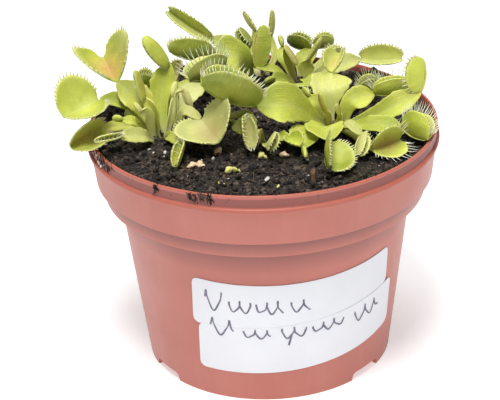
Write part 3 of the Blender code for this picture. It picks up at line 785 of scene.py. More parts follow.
def penStrokes():
    # plain waves that spell nothing: (left, right, foot, tall, waves, slope, swing)
    rows = (
        (-31.5, -25.0, 4.2, 8.4, 1.2, 0.0, 0.2), (-22.6, -14.8, 4.8, 5.0, 2.2, 0.01, 1.1),
        (-12.9, -4.4, 4.8, 5.4, 2.4, 0.01, 2.3), (-2.4, 4.6, 5.0, 4.8, 1.7, 0.02, 0.6),
        (-29.8, -20.4, -5.4, 6.8, 1.6, 0.0, 0.0), (-17.6, -8.2, -5.2, 3.8, 2.4, 0.0, 1.6),
        (-5.6, 3.4, -5.4, 4.6, 2.2, 0.01, 0.4), (5.8, 16.7, -4.8, 3.8, 2.8, 0.03, 2.0),
        (21.5, 33.5, -6.8, 5.6, 2.6, 0.10, 1.0),
    )
    strokes = [[(-1.6 - 0.25 * i, -4.2 - 1.0 * i) for i in range(5)]]
    for left, right, foot, tall, waves, slope, swing in rows:
        stroke = []
        count = int(waves * 24)
        for i in range(count + 1):
            share = i / count
            phase = 2 * math.pi * waves * share + swing
            height = 0.5 + 0.5 * math.sin(phase) * (0.75 + 0.25 * math.sin(1.7 * phase + swing))
            across = left + (right - left) * share + 0.7 * math.cos(phase)
            stroke.append((across, foot + tall * height + slope * (across - left)))
        strokes.append(stroke)
    return strokes


def buildStickers():
    paper = paperMaterial()
    for name in ("upperSticker", "lowerSticker"):
        look = stickers[name]
        (left, leftFoot, leftHead), (right, rightFoot, rightHead) = look["left"], look["right"]
        sheet = gridSheet(name, 96, 24)
        corner = stickers["corner"]
        straight = (right - left) / 2 - corner
        for vertex in sheet.data.vertices:
            u, v = vertex.co.x, (vertex.co.y + 1) / 2
            u = math.copysign(1 - (1 - abs(u)) ** 1.25, u)      # more columns near the ends
            x = (left + right) / 2 + u * (right - left) / 2
            past = max(0.0, abs(x - (left + right) / 2) - straight)
            rounding = corner - math.sqrt(max(0.0, corner ** 2 - past ** 2))
            along = (x - left) / (right - left)
            low = leftFoot + (rightFoot - leftFoot) * along + rounding
            high = leftHead + (rightHead - leftHead) * along - rounding
            clear = look["face"] - stickers["paper"]
            if name == "lowerSticker":      # it lies flat on the wall below the other's foot
                clear -= stickers["paper"] * (1 - v) ** 0.5
            vertex.co = onWall(x, low + (high - low) * v, clear)
        wall = sheet.modifiers.new("paper", "SOLIDIFY")
        wall.thickness = stickers["paper"] * mm
        wall.offset = 1.0
        applyAll(sheet)
        sheet.data.shade_smooth()
        pick(sheet)
        bpy.ops.object.shade_smooth_by_angle(angle=math.radians(50))
        sheet.data.materials.append(paper)
        finishPiece(sheet, "label_paper", look["solid"])


def buildPen():
    # flat ribbons that lie on whichever sticker is outermost
    lower = stickers["lowerSticker"]
    headSlope = (lower["right"][2] - lower["left"][2]) / (lower["right"][0] - lower["left"][0])
    points, faces = [], []
    for stroke in penStrokes():
        begin = len(points)
        for i, (across, up) in enumerate(stroke):
            before, after = stroke[max(i - 1, 0)], stroke[min(i + 1, len(stroke) - 1)]
            run = Vector((after[0] - before[0], after[1] - before[1])).normalized()
            half = stickers["pen"] * (0.9 + 0.15 * math.sin(0.45 * i))
            head = lower["left"][2] + headSlope * (across - lower["left"][0])
            clear = (lower if up < head else stickers["upperSticker"])["face"] + 0.02
            points.append(onWall(across + run.y * half, up - run.x * half, clear))
            points.append(onWall(across - run.y * half, up + run.x * half, clear))
        for k in range(begin, len(points) - 2, 2):
            faces.append([k, k + 2, k + 3, k + 1])
    marks = meshPiece("penMarks", points, faces)
    ink = marks.modifiers.new("ink", "SOLIDIFY")
    ink.thickness = stickers["ink"] * mm
    ink.offset = 1.0
    applyAll(marks)
    marks.data.materials.append(inkMaterial())
    finishPiece(marks, "label_paper")


buildStickers()
buildPen()
print("stickers ready")


# the leaves

front = (0, -0.7, 0.7)
crowns = {"left": (-33, -10), "back": (-1, 40), "rear": (14, 39), "right": (24, -1), "middle": (0, -14)}

# what each number of a leaf stands for, in mm, degrees and shares from 0 to 1: start is how far from
# the crown it leaves the soil, stalk runs up to the hinge, depth is a lobe's, gape 0 is a shut trap
# the olive share darkens a leaf: partly its own olive colour, partly painted shade on leaves that sit in shade
leafKeys = ("crown", "start", "stalk", "stalkLook", "width",
            "tip", "mouth", "depth", "gape", "oliveAndShade", "pale", "blush", "teeth", "toothLength", "toothLean")

leaves = {
    "left_open_back": ("left", 4, [(-40, -9, 96), (-48, -6, 103)], front, 10,
        (-54, 12, 105), (-0.25, -0.1, 1), 16, 68, 0.22, 0.05, 0.75, 19, 3.2, 0.2),
    "left_round": ("left", 6, [(-44, -5, 94), (-54, -10, 98.5)], (0, -0.5, 0.8), 7,
        (-66, -18, 96.5), (0, -0.5, 0.86), 12.5, 99, 0.3, 0.05, 0.05, 22, 2.6, 0.3),
    "left_low": ("left", 7, [(-44, -10, 89), (-54, -12, 89)], (0, -0.6, 0.8), 5,
        (-64, -21, 86.8), (-0.2, -1, 0.2), 9.6, 52, 0.3, 0.1, 0.45, 16, 2.6, 0.1),
    "left_comb": ("left", 7, [(-40, -20, 89.5), (-47, -22.5, 90.5)], front, 6,
        (-55, -27, 91), (0.2, -0.8, 0.6), 4.2, 22, 0.45, 0.35, 0.3, 15, 2.6, 0.2),
    "left_young": ("left", 3, [(-36, -12, 94), (-39, -11, 99)], (-0.3, -0.9, 0.3), 4,
        (-41, -11, 109), (-0.5, -0.9, -0.1), 3.4, 0, 0.25, 0, 0.35, 9, 1, 0),
    "left_banana": ("left", 2, [(-34, -1, 97), (-31, 2, 106)], (0, -1, 0.2), 8,
        (-38, 0, 117), (-0.5, -0.8, -0.4), 5.4, 0, 0.2, 0, 0, 9, 0.9, 0),
    "left_short": ("left", 5, [(-38, -14.5, 93.5), (-40, -17, 97)], (0.3, -0.8, 0.5), 5,
        (-42, -17, 100), (-0.3, -0.4, 0.6), 2, 0, 0.05, 0.45, 0, 0, 0, 0),
    "left_folded": ("left", 1, [(-30.5, -7.5, 92), (-29.5, -4, 96)], (0.5, -0.8, 0.2), 3,
        (-28.5, -1, 100), (-0.6, -0.8, 0.3), 2.5, 0, 0.1, 0.5, 0.1, 0, 0, 0),
    "left_hook": ("left", 3, [(-28.8, -10.2, 94), (-28.5, -9.8, 100), (-26, -10, 101.4)], (-0.6, 0, 0.8), 1.8,
        (-24, -11, 95), (0.95, -0.1, 0.2), 2, 0, 0.1, 0.6, 0.3, 0, 0, 0),
    "left_hanging": ("left", 5, [(-31, -18, 88), (-26, -29, 90)], (0, -0.8, 0.6), 4,
        (-28.5, -38, 85.5), (-0.3, -0.8, 0.5), 5, 34, 0.35, 0.1, 0.15, 12, 2.6, 0.6),
    "left_open_front": ("left", 4, [(-26, -14, 95), (-20.5, -16, 93)], (0, -0.5, 0.8), 4,
        (-14.5, -31, 91), (-0.4, -0.2, 0.9), 13, 100, 0.6, 0.45, 0.35, 19, 1.3, 0.3),
    "left_pale": ("left", 4.5, [(-25, -3, 95), (-20, 4, 97)], (-0.3, -0.8, 0.5), 7,
        (-17, 8, 97), (0.1, -0.1, 1), 3, 0, 0.05, 0.75, 0, 0, 0, 0),
    "left_dark_back": ("left", 3, [(-38, 4, 90), (-38, 12, 93.5)], (0, -0.8, 0.6), 4,
        (-43.5, 12, 95), (-0.05, -0.2, 1), 6.8, 26, 0.45, 0.05, 0.05, 16, 1.3, 0.1),
    "left_fringed": ("left", 4, [(-31, 2, 93), (-25, 8, 97)], (0, -0.6, 0.8), 4,
        (-12, 16, 99), (-0.3, 0.3, 0.9), 9, 68, 0.35, 0.3, 0.3, 17, 5, 0.1),
    # this leaf's high olive share is painted shade, as it sits in shade
    "left_shaded": ("left", 9, [(-42.5, -3, 89), (-45.5, 1, 91)], (0, -0.8, 0.6), 6.5,
        (-47.5, 3, 92.5), (0.1, -0.5, 0.8), 2.2, 0, 0.95, 0, 0, 0, 0, 0),
    "left_low_blade": ("left", 6, [(-42.5, -15, 92), (-46.5, -16, 93.5)], (0, -0.5, 0.85), 4,
        (-49.5, -16, 94), (0, -0.4, 0.9), 2.2, 0, 0.1, 0, 0, 0, 0, 0),
    "left_brown_pair": ("left", 6, [(-32, 6, 91), (-29, 17, 95)], (0, -0.8, 0.6), 3,
        (-27.5, 18, 100.5), (-0.5, -0.8, 0.2), 4.6, 56, 0.55, 0.25, 0.45, 10, 2.6, 0.2),
    "back_half_open": ("back", 4, [(-8, 30, 96), (-17, 26, 98)], front, 14,
        (-32, 23, 102), (0.2, 0.5, 0.9), 8, 53, 0.6, 0.05, 0, 20, 2.4, 0.3),
    "back_edge_on": ("back", 4, [(-9, 44, 93), (-18, 42, 99)], front, 7,
        (-32.5, 45, 109), (-0.15, -0.85, 0.5), 6.5, 46, 0.15, 0.45, 0, 24, 2.2, 0.1),
    "back_small": ("back", 4, [(-5.5, 47, 90), (-3, 50, 94)], front, 4,
        (-7, 52, 99), (-0.6, -0.8, -0.1), 5, 40, 0.75, 0.15, 0.1, 9, 1.8, 0.2),
    "back_thin": ("back", 4, [(-2, 51, 90), (-2, 54, 97)], (0, -1, 0.1), 2.5,
        (-6, 54, 104), (0.7, -0.7, 0.3), 2.2, 0, 0.1, 0.5, 0.25, 8, 1.6, 0),
    "back_upright": ("back", 5, [(5, 48, 89), (4, 52, 95)], (0, -1, 0.1), 2.5,
        (5, 52, 105), (-0.7, -0.7, 0), 2.4, 0, 0.3, 0.3, 0.1, 8, 1.2, 0),
    "rear_tall": ("rear", 5, [(6, 33, 89), (-2, 31, 92)], (0, -0.4, 0.9), 4,
        (0, 34, 106), (0.8, 0.5, -0.2), 6.4, 24, 0.1, 0.05, 0.25, 12, 1.2, 0.1),
    "rear_broad": ("rear", 4, [(9, 42, 90), (8, 45, 94)], (0, -1, 0.3), 6,
        (7, 47, 97), (0, -0.8, 0.5), 2.5, 0, 0.2, 0.05, 0.1, 0, 0, 0),
    "rear_pink_hook": ("rear", 3, [(10, 36, 92), (9, 32, 99)], (0, -1, 0.1), 3.5,
        (13, 30, 93), (-0.5, -0.9, -0.1), 2.2, 0, 0.15, 0.25, 0.8, 0, 0, 0),
    "rear_round": ("rear", 4, [(14, 46, 88), (18, 49, 91)], (0, -0.6, 0.8), 4,
        (10, 53, 92), (0.1, 0.1, 1), 6, 36, 0.95, 0, 0, 14, 1.2, 0.2),
    "rear_diamond": ("rear", 3, [(16, 37, 88), (17, 36, 92)], (0, -1, 0.3), 6,
        (22, 36, 100), (-0.5, -0.8, 0.3), 2.6, 0, 0.1, 0.2, 0.55, 7, 0.8, 0),
    "rear_far_right": ("rear", 5, [(18, 50, 87), (20, 53, 90)], (0, -0.6, 0.8), 4,
        (27, 52, 92), (-0.1, 0.1, 1), 5.5, 37, 0.6, 0.1, 0.3, 12, 1.6, 0.2),
    "rear_pale": ("rear", 4, [(20, 43, 86), (24, 45, 89)], (0, -0.6, 0.8), 3,
        (30, 47, 89), (-0.1, 0.1, 1), 5, 46, 0.45, 0.45, 0.1, 10, 1.4, 0.2),
    "rear_half_open": ("rear", 4, [(26, 37, 89), (35.5, 36, 91.5)], (0, -0.8, 0.6), 7,
        (50.5, 34, 92), (-0.05, -0.72, 0.68), 7.2, 62, 0.05, 0.5, 0, 22, 1.6, 0.1),
    "rear_comb": ("rear", 4, [(16, 30, 87), (19, 24, 87)], (0, -0.6, 0.8), 5,
        (9, 24, 87), (0, -1, -0.2), 3, 30, 0.45, 0.1, 0, 12, 2.4, 0.1),
    "rear_left_leaf": ("rear", 5, [(8, 28, 88), (4, 19, 91)], (0, -0.7, 0.7), 6,
        (1, 15, 92), (0.3, -0.2, 0.9), 3, 0, 1, 0, 0, 0, 0, 0),
    "right_big": ("right", 4, [(10, -12, 95), (-2, -18, 98)], (0.1, -0.8, 0.6), 14,
        (-20, -21, 107.5), (0.3, 0.22, 0.85), 12.3, 60, 0.6, 0, 0, 26, 2.8, 0.3),
    "right_back_v": ("right", 4, [(23, 6, 92), (24, 13, 96)], front, 14,
        (27, 21, 100), (-0.1, -0.4, 0.9), 7, 62, 0.1, 0.35, 0.3, 12, 1.8, 0.2),
    "right_round_back": ("right", 5, [(31, 8, 88), (33.5, 13, 88.5)], (0, -0.7, 0.7), 4,
        (41, 14.5, 89.5), (-0.1, -0.15, 1), 6.6, 30, 0.4, 0.15, 0.15, 20, 3.2, 0),
    "right_dome": ("right", 4, [(30, -1, 91), (38, 2, 92.5)], (0, -0.8, 0.6), 8,
        (51, 3, 94), (-0.2, 0.1, 1), 6.5, 31, 0.12, 0, 0, 17, 5.6, 0),
    "right_tall": ("right", 5, [(41, -9, 91), (53, -6, 96)], (0, -0.8, 0.6), 8,
        (54, -3, 107), (-1, 0, 0.1), 7, 27, 0.05, 0, 0, 14, 2.4, 0),
    "right_clam": ("right", 5, [(36, -13.5, 88), (46, -15, 87.5)], (0, -0.6, 0.8), 7,
        (54, -23, 86), (0.5, 0.2, 0.9), 9, 28, 0.22, 0, 0.1, 22, 4.4, -0.1),
    "right_open": ("right", 8, [(32, -21, 85.5), (35, -29, 86)], (0, -0.3, 0.9), 3,
        (45, -23, 86.5), (0.5, -0.7, 0.5), 9, 66, 0.12, 0.1, 0.6, 13, 5.6, -0.1),
    "right_pale": ("right", 5, [(28, -14, 89), (32, -24, 89)], (0, -0.4, 0.9), 4,
        (30, -34, 86), (0.5, -0.8, 0.2), 5, 25, 0.3, 0.5, 0.15, 10, 1.2, 0.1),
    "right_front": ("right", 6, [(20, -15, 88), (21.5, -30, 90)], (0, -0.2, 1), 14,
        (20.5, -45, 86.5), (0.4, -0.9, 0.2), 9.5, 75, 0.52, 0, 0, 24, 1.7, 0.1),
    "right_shoulder": ("right", 9, [(14.5, -16.5, 87), (13, -27.5, 86.5)], (0, -0.25, 1), 11,
        (13.5, -34, 86), (0, -0.3, 0.9), 2.2, 0, 0.35, 0, 0, 0, 0, 0),
    "right_young_red": ("right", 3, [(22, -5, 88), (21, -6, 90)], (0, -1, 0.2), 2.4,
        (19, -7, 97), (0.7, -0.7, 0.1), 2.2, 0, 0.2, 0.1, 0.8, 0, 0, 0),
    "right_bud": ("right", 2.5, [(26, -5, 87), (26, -6, 89)], (0, -1, 0.2), 2,
        (25, -7, 93), (-0.7, -0.8, 0), 1.6, 0, 0.1, 0.3, 0.5, 0, 0, 0),
    "right_blade_back": ("right", 4, [(19, -1, 90), (16, 0, 93)], (0, -0.8, 0.6), 6,
        (14, 3, 94), (-0.2, 0.1, 1), 2.5, 0, 0.4, 0, 0.1, 0, 0, 0),
    "right_blade_left": ("right", 4.5, [(16, 2, 90), (11, 6, 91)], (0, -0.8, 0.6), 6,
        (9, 9, 92), (-0.2, 0.1, 1), 2.5, 0, 0.45, 0, 0.1, 0, 0, 0),
    "middle_bright": ("middle", 4, [(5, -20, 87), (8, -25, 89)], (0, -0.6, 0.8), 5,
        (12, -29, 88), (0, -0.4, 0.9), 5, 80, 0.1, 0, 0, 9, 0.9, 0.2),
    "middle_grey": ("middle", 5, [(1, -24, 86.5), (1, -29, 88)], (0, -0.6, 0.8), 3,
        (4, -28, 93), (0.35, -0.95, 0.1), 4.8, 25, 0.3, 0.5, 0.15, 10, 1.4, 0),
    "middle_dead": ("middle", 3, [(-1, -20, 89), (-1, -24, 92)], (0, -0.8, 0.6), 2,
        (-2, -25, 87), (-0.5, -0.8, 0.2), 2.2, 0, 0.95, 0.2, 0.6, 0, 0, 0),
    "middle_boat": ("middle", 4, [(-4, -18, 92), (-6, -22, 96)], (0, -0.8, 0.6), 4,
        (-5, -26, 86.5), (0.3, -0.9, 0.3), 6.2, 44, 0.1, 0.6, 0.3, 14, 3, 0.6),
    "middle_narrow": ("middle", 2, [(-4, -13, 91), (-5, -14, 94)], (0, -0.8, 0.6), 3,
        (-12, -16, 93), (0, -0.5, 0.9), 2.2, 0, 0.3, 0.15, 0, 10, 1.4, 0),
    "middle_dark": ("middle", 5, [(-7, -13.5, 88), (-10, -12, 89)], (0, -0.5, 0.8), 6,
        (-11.5, -10.5, 90), (0, -0.5, 0.8), 2.2, 0, 1, 0, 0, 0, 0, 0),
}

leafShape = {
    "blade": (10, 34),       # grid faces across and along a stalk
    "trap": (24, 24),        # the same for a trap
    "neck": 0.75,            # half width of a stalk at the trap, mm
    "base": 1.1,             # and where it leaves the soil
    "rise": 0.9,             # how far above the smooth soil that is
    "buried": 0.06,          # share of the stalk that goes below
    "buriedDrop": 2.6,
    "dish": 0.32,
    "curl": 24.0,
    "bow": 0.1,
    "fan": 0.35,
    "thick": 0.55,
    "rib": 0.5,              # radius of the midrib
    "ragged": 0.2,           # how uneven a stalk's margins are
}

greens = {
    "bright": (0.730, 0.760, 0.125),
    "lush": (0.470, 0.560, 0.040),
    "patch": (0.360, 0.470, 0.030),
    # dark olive, used for the leaves' own olive and for painted shade
    "oliveAndShade": (0.165, 0.195, 0.018),
    "pale": (0.740, 0.720, 0.380),
    "rim": (0.800, 0.800, 0.270),
    "blush": (0.450, 0.150, 0.115),
    "tooth": (0.800, 0.780, 0.330),
    "toothShade": (0.600, 0.620, 0.160),
    "whiteTooth": (0.860, 0.850, 0.720),
    "redTooth": (0.350, 0.160, 0.080),
}

ribSkin, toothSkin = 3, 4      # places in the list of skins


def leafMaterial(name, vein, wet, warm):
    # one skin: vein says how deep its veins are, wet how glossy, warm how yellow
    material, tree, shader = newMaterial(name)
    coords = objectCoords(tree)
    flat = addNode(tree, "ShaderNodeUVMap", uv_map="UVMap").outputs["UV"]
    cloud = noiseOf(tree, coords, 130.0, 4.0)
    fine = noiseOf(tree, coords, 1100.0, 3.0, 0.6)
    streak = noiseOf(tree, stretched(tree, flat, vein["stretch"]), 6.0, 4.0, 0.6)
    base = mixColours(tree, ramp(tree, cloud, 0.32, 0.68, 0.0, 0.8 - warm), greens["bright"], greens["lush"])
    patch = noiseOf(tree, coords, 48.0, 2.0)
    base = mixColours(tree, ramp(tree, patch, 0.45, 0.68, 0.0, 0.7), base, greens["patch"])
    # olive darkening: partly the leaf's own colour, partly painted shade
    oliveAndShade = sums(tree, "ADD", attributeOf(tree, "oliveAndShade"), ramp(tree, cloud, 0.3, 0.7, -0.14, 0.14), True)
    base = mixColours(tree, oliveAndShade, base, greens["oliveAndShade"])
    pale = sums(tree, "ADD", attributeOf(tree, "pale"), ramp(tree, streak, 0.3, 0.7, -0.1, 0.1), True)
    base = mixColours(tree, pale, base, greens["pale"])
    base = mixColours(tree, ramp(tree, streak, 0.5, 0.72, 0.0, 0.4), base, greens["lush"])
    base = mixColours(tree, sums(tree, "MULTIPLY", attributeOf(tree, "rim"), 0.75), base, greens["rim"])
    blush = sums(tree, "MULTIPLY", attributeOf(tree, "blush"), ramp(tree, fine, 0.25, 0.6, 0.55, 1.1), True)
    base = mixColours(tree, blush, base, greens["blush"])
    tree.links.new(base, shader.inputs["Base Color"])
    tree.links.new(ramp(tree, fine, 0.3, 0.7, wet - 0.05, wet + 0.08), shader.inputs["Roughness"])
    shader.inputs["Subsurface Weight"].default_value = 0.16
    shader.inputs["Subsurface Radius"].default_value = (0.7, 1.0, 0.2)
    shader.inputs["Subsurface Scale"].default_value = 0.0016
    shader.inputs["Specular IOR Level"].default_value = 0.55
    grooves = bumpFrom(tree, streak, vein["depth"], 0.0004)
    tree.links.new(bumpFrom(tree, fine, 0.12, 0.0001, grooves), shader.inputs["Normal"])
    return material


def leafMaterials():
    along = {"stretch": (7.0, 0.6, 1.0), "depth": 0.85}
    across = {"stretch": (0.7, 7.0, 1.0), "depth": 0.7}
    skins = [leafMaterial("trapInside", across, 0.40, 0.3), leafMaterial("trapBack", across, 0.33, 0.15),
             leafMaterial("bladeTop", along, 0.29, 0.4), leafMaterial("bladeUnder", along, 0.45, 0.2)]
    material, tree, shader = newMaterial("toothTips")
    coords = objectCoords(tree)
    cloud = noiseOf(tree, coords, 260.0, 2.0)
    base = mixColours(tree, ramp(tree, cloud, 0.35, 0.65), greens["tooth"], greens["toothShade"])
    base = mixColours(tree, attributeOf(tree, "pale"), base, greens["whiteTooth"])
    base = mixColours(tree, attributeOf(tree, "blush"), base, greens["redTooth"])
    tree.links.new(base, shader.inputs["Base Color"])
    shader.inputs["Roughness"].default_value = 0.45
    shader.inputs["Subsurface Weight"].default_value = 0.2
    shader.inputs["Subsurface Scale"].default_value = 0.0008
    return skins + [material]


def smoothPoint(spine, t):
    # a point and a heading on a smooth curve through the spine
    spans = len(spine) - 1
    spot = min(t, 0.9999) * spans
    i = int(spot)
    u = spot - i
    before = spine[i - 1] if i > 0 else spine[0] * 2 - spine[1]
    start, end = spine[i], spine[i + 1]
    after = spine[i + 2] if i + 2 <= spans else spine[-1] * 2 - spine[-2]
    slopeIn, slopeOut = (end - before) / 2, (after - start) / 2
    point = (start * (2 * u ** 3 - 3 * u ** 2 + 1) + slopeIn * (u ** 3 - 2 * u ** 2 + u)
             + end * (3 * u ** 2 - 2 * u ** 3) + slopeOut * (u ** 3 - u ** 2))
    heading = (start * (6 * u ** 2 - 6 * u) + slopeIn * (3 * u ** 2 - 4 * u + 1)
               + end * (6 * u - 6 * u ** 2) + slopeOut * (3 * u ** 2 - 2 * u))
    return point, heading.normalized()


def frameAlong(heading, look):
    normal = (look - heading * look.dot(heading)).normalized()
    return heading.cross(normal), normal


def crowded(share):
    # evenly spread from 0 to 1, made closer together near both ends
    return 0.02 + 0.96 * (0.5 - 0.5 * math.cos(math.pi * share))


def modelTooth():
    # one bristle along Z, one unit long and one across, with rings enough to bend
    deselectAll()
    bpy.ops.mesh.primitive_cone_add(vertices=5, radius1=0.5, radius2=0.0, depth=1.0, location=(0.0, 0.0, 0.5))
    tooth = bpy.context.object
    bpy.ops.object.transform_apply(location=True, rotation=True, scale=True)
    for share in (0.33, 0.66):
        bpy.ops.object.mode_set(mode="EDIT")
        bpy.ops.mesh.select_all(action="SELECT")
        bpy.ops.mesh.bisect(plane_co=(0.0, 0.0, share), plane_no=(0.0, 0.0, 1.0))
        bpy.ops.object.mode_set(mode="OBJECT")
    for vertex in tooth.data.vertices:      # fuller below the tip
        swell = 1.0 + 0.9 * vertex.co.z * (1.0 - vertex.co.z)
        vertex.co = Vector((vertex.co.x * swell, vertex.co.y * swell, vertex.co.z))
    return tooth


class Trap:
    # where any point of a trap lies: s along its midrib, w from midrib to margin, side -1 or 1
    def __init__(self, hinge, tip, mouth, depth, gape):
        self.hinge, self.length = hinge, (tip - hinge).length
        self.axis = (tip - hinge).normalized()
        self.across, self.mouth = frameAlong(self.axis, mouth)
        self.depth, self.gape = depth, math.radians(gape)

    def middle(self, s):
        bow = leafShape["bow"] * self.length * math.sin(math.pi * s)
        return self.hinge + self.axis * self.length * s - self.mouth * bow

    def at(self, s, w, side):
        size = max(0.2, math.sin(math.pi * s) ** 0.5) * self.depth
        if self.gape:
            curl = math.radians(leafShape["curl"])
            out = up = 0.0
            steps = 6
            for k in range(steps):
                angle = self.gape / 2 + curl * (1 - 2 * w * (k + 0.5) / steps)
                out += math.sin(angle) * w * size / steps
                up += math.cos(angle) * w * size / steps
            out += max(0.0, w - 0.88) * 0.35 * size      # the margin turns out a little
        else:
            out = size * (0.30 * math.sin(math.pi * w ** 0.85) ** 0.75 + 0.035 * w)
            up = size * w
        fan = leafShape["fan"] * self.length * (s - 0.5) / self.depth
        return self.middle(s) + self.across * out * side + self.mouth * up + self.axis * fan * up


def writeShades(piece, shades):
    for key, values in shades.items():
        layer = piece.data.attributes.new(key, "FLOAT", "POINT")
        layer.data.foreach_set("value", values)


def evenShades(piece, oliveAndShade, pale, blush):
    count = len(piece.data.vertices)
    writeShades(piece, {"oliveAndShade": [oliveAndShade] * count, "pale": [pale] * count, "blush": [blush] * count,
                        "rim": [0.0] * count})


def wearSkin(piece, skins, number):
    for skin in skins:
        piece.data.materials.append(skin)
    for polygon in piece.data.polygons:
        polygon.material_index = number


def thicken(sheet, skins, firstSkin):
    wearSkin(sheet, skins, firstSkin)
    wall = sheet.modifiers.new("flesh", "SOLIDIFY")
    wall.thickness = leafShape["thick"] * mm
    wall.offset = 0.0
    wall.material_offset = 1
    wall.material_offset_rim = 0
    smoother = sheet.modifiers.new("round", "SUBSURF")
    smoother.levels = 1
    smoother.render_levels = 1
    applyAll(sheet)
    sheet.data.shade_smooth()


def growStalk(name, look, spine, root, chance, skins):
    oliveAndShade, pale, blush = look["oliveAndShade"], look["pale"], look["blush"]
    buried, neck, base = leafShape["buried"], leafShape["neck"], leafShape["base"]
    phase = chance.uniform(0, 6.28)
    blade = gridSheet(name, *leafShape["blade"])
    shades = {"oliveAndShade": [], "pale": [], "blush": [], "rim": []}
    for vertex in blade.data.vertices:
        u, v = vertex.co.x, (vertex.co.y + 1) / 2
        t = (v - buried) / (1 - buried)
        point, heading = smoothPoint(spine, max(t, 0.0))
        if t < 0:
            point = point + (root - spine[0]) * (-t / 0.064)
        side, normal = frameAlong(heading, Vector(look["stalkLook"]))
        t = max(t, 0.0)
        swell = math.sin(math.pi * min(t, 0.9999) ** 1.7) ** 0.9
        half = base + (neck - base) * t
        half += (look["width"] / 2 - half) * swell
        half *= 1.0 + 0.06 * swell * math.sin(9.0 * t + phase + (2.0 if u > 0 else 0.0))
        ragged = noise.noise(Vector((t * 16.0, 4.0 if u > 0 else 8.0, phase)))
        half *= 1.0 + leafShape["ragged"] * swell * ragged * abs(u) ** 3
        wave = 0.10 * half * swell * math.sin(11.0 * t + phase + (1.3 if u > 0 else 0.0)) * u ** 2
        rise = leafShape["dish"] * half * abs(u) ** 1.35 + wave
        vertex.co = place(*(point + side * half * u + normal * rise))
        shades["oliveAndShade"].append(oliveAndShade * (0.35 + 0.25 * (1 - t)))
        foot, middle = 0.5 * max(0.0, 0.22 - t) / 0.22, 0.18 * (1 - abs(u)) ** 6      # both are paler
        shades["pale"].append(min(1.0, pale * 0.8 + foot + middle))
        red = blush * (0.12 + 0.6 * max(0.0, 0.3 - t))
        shades["blush"].append(min(1.0, red * (1.0 if blush < 0.7 else 1.6)))
        shades["rim"].append(max(0.0, abs(u) - 0.9) * 4.0)
    writeShades(blade, shades)
    thicken(blade, skins, 2)
    return blade


def growTrap(look, trap, skins):
    lobes = gridSheet("trap", *leafShape["trap"])
    shades = {"oliveAndShade": [], "pale": [], "blush": [], "rim": []}
    for vertex in lobes.data.vertices:
        u, v = vertex.co.x, (vertex.co.y + 1) / 2
        s, w = crowded(v), abs(u)
        spot = trap.at(s, w, math.copysign(1, u))
        wobble = noise.noise(spot * 0.35) * 0.03 * trap.depth * w
        sway = noise.noise(spot * 0.4 + Vector((9, 9, 9))) * 0.25 * w
        vertex.co = place(*(spot + trap.mouth * wobble + trap.across * sway))
        inside = max(0.0, 1.0 - w * 1.5) * math.sin(math.pi * s) ** 0.6
        if not trap.gape:
            inside = max(inside, 0.75 * (1 - w ** 3))
        shades["oliveAndShade"].append(look["oliveAndShade"])
        shades["pale"].append(look["pale"])
        shades["blush"].append(look["blush"] * inside)
        shades["rim"].append(max(0.0, w - 0.9) * 8.0)
    writeShades(lobes, shades)
    thicken(lobes, skins, 0)
    return lobes


def growRib(look, spine, trap, skins):
    # the midrib under the stalk and the trap
    line = bpy.data.curves.new("rib", "CURVE")
    line.dimensions = "3D"
    line.bevel_depth = leafShape["rib"] * mm
    line.bevel_resolution = 1
    line.use_fill_caps = True
    route = []
    for i in range(13):
        point, heading = smoothPoint(spine, i / 12)
        normal = frameAlong(heading, Vector(look["stalkLook"]))[1]
        route.append((point - normal * 0.45, 1.25 - 0.45 * i / 12))
    for i in range(1, 12):
        route.append((trap.middle(0.02 + 0.9 * i / 11) - trap.mouth * 0.35, 0.85 - 0.5 * i / 11))
    spline = line.splines.new("POLY")
    spline.points.add(len(route) - 1)
    for point, (spot, thick) in zip(spline.points, route):
        point.co = (*place(*spot), 1.0)
        point.radius = thick
    rib = bpy.data.objects.new("rib", line)
    bpy.context.scene.collection.objects.link(rib)
    pick(rib)
    bpy.ops.object.convert(target="MESH")
    rib = bpy.context.object
    evenShades(rib, look["oliveAndShade"] * 0.7, look["pale"] * 0.8 + 0.12, look["blush"] * 0.3)
    rib.data.shade_smooth()
    wearSkin(rib, skins, ribSkin)
    return rib


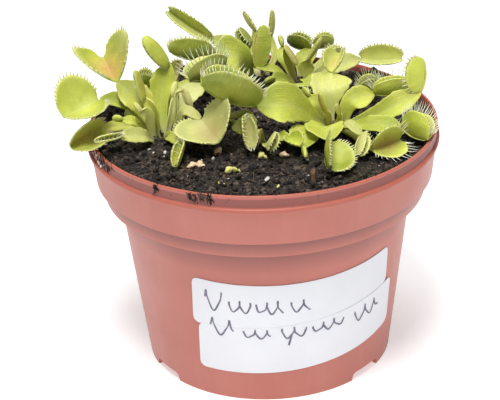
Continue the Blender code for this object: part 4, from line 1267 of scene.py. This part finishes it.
def bristlesOf(look, trap, chance):
    # (foot, way it points, bend, length, thickness), along both margins, then hairs inside an open trap
    bristles = []
    teeth = look["teeth"]
    for side in (-1, 1):
        for i in range(teeth):
            share = (i + 0.5 + chance.uniform(-0.18, 0.18) + (0.25 if side > 0 else -0.25)) / teeth
            s = min(0.975, max(0.025, crowded(share)))
            foot = trap.at(s, 0.985, side)
            out = (foot - trap.at(s, 0.85, side)).normalized()
            out = out + trap.axis * (s - 0.5) * 0.9
            out = out - trap.across * side * look["toothLean"]
            out = (out + Vector([chance.gauss(0, 0.08) for _ in range(3)])).normalized()
            long = 0.45 + 0.55 * math.sin(math.pi * share) ** 0.6      # shorter at both ends
            long *= look["toothLength"] * chance.uniform(0.8, 1.12)
            bend = -trap.across * side * chance.uniform(0.05, 0.3)
            thick = max(0.3, 0.7 - 0.08 * long) * min(1.0, 0.45 + trap.depth / 18)
            bristles.append((foot, out, bend, long, thick))
    if look["gape"] > 50 and trap.depth > 8:
        for side in (-1, 1):
            for s, w in ((0.38, 0.42), (0.62, 0.42), (0.5, 0.58)):
                inward = (trap.mouth * 0.35 - trap.across * side).normalized()
                bristles.append((trap.at(s, w, side), inward, trap.mouth * 0.1, 1.5, 0.16))
    return bristles


def growBristles(look, trap, chance, skins, toothModel):
    model = toothModel.data
    points, faces = [], []
    for foot, out, bend, long, thick in bristlesOf(look, trap, chance):
        side, normal = frameAlong(out, trap.mouth + trap.axis * 0.3)
        begin = len(points)
        for vertex in model.vertices:
            x, y, z = vertex.co
            spot = foot + side * x * thick * -1 + normal * y * thick + out * z * long + bend * z * z * long
            points.append(place(*spot))
        faces += [[begin + k for k in polygon.vertices] for polygon in model.polygons]
    if not points:
        return []
    comb = meshPiece("comb", points, faces)
    long = look["toothLength"]
    white = min(1.0, long / 5.0) * 0.9
    evenShades(comb, look["oliveAndShade"], white, 0.35 if look["blush"] > 0.4 and long < 3 else 0.0)
    comb.data.shade_smooth()
    wearSkin(comb, skins, toothSkin)
    return [comb]


def buildLeaf(name, look, skins, toothModel):
    chance = random.Random(name)
    crownX, crownY = crowns[look["crown"]]
    stalk = [Vector(point) for point in look["stalk"]]
    level = Vector((stalk[0].x - crownX, stalk[0].y - crownY, 0)).normalized()
    base = Vector((crownX, crownY, 0)) + level * look["start"]
    base.z = soilHeight(base.x, base.y) + leafShape["rise"]
    root = base - level * 0.8      # the stalk comes up out of the soil
    root.z -= leafShape["buriedDrop"]
    spine = [base] + stalk
    trap = Trap(stalk[-1], Vector(look["tip"]), Vector(look["mouth"]), look["depth"], look["gape"])
    blade = growStalk("leaf_" + name + "_grown", look, spine, root, chance, skins)
    parts = [growTrap(look, trap, skins), growRib(look, spine, trap, skins)]
    parts += growBristles(look, trap, chance, skins, toothModel)
    finishPiece(joinPieces(blade, parts), "leaf_green", "leaf_" + name)


def buildLeaves():
    skins = leafMaterials()
    tooth = modelTooth()
    for name, row in leaves.items():
        buildLeaf(name, dict(zip(leafKeys, row)), skins, tooth)
    bpy.data.objects.remove(tooth, do_unlink=True)


buildLeaves()
print("leaves ready")
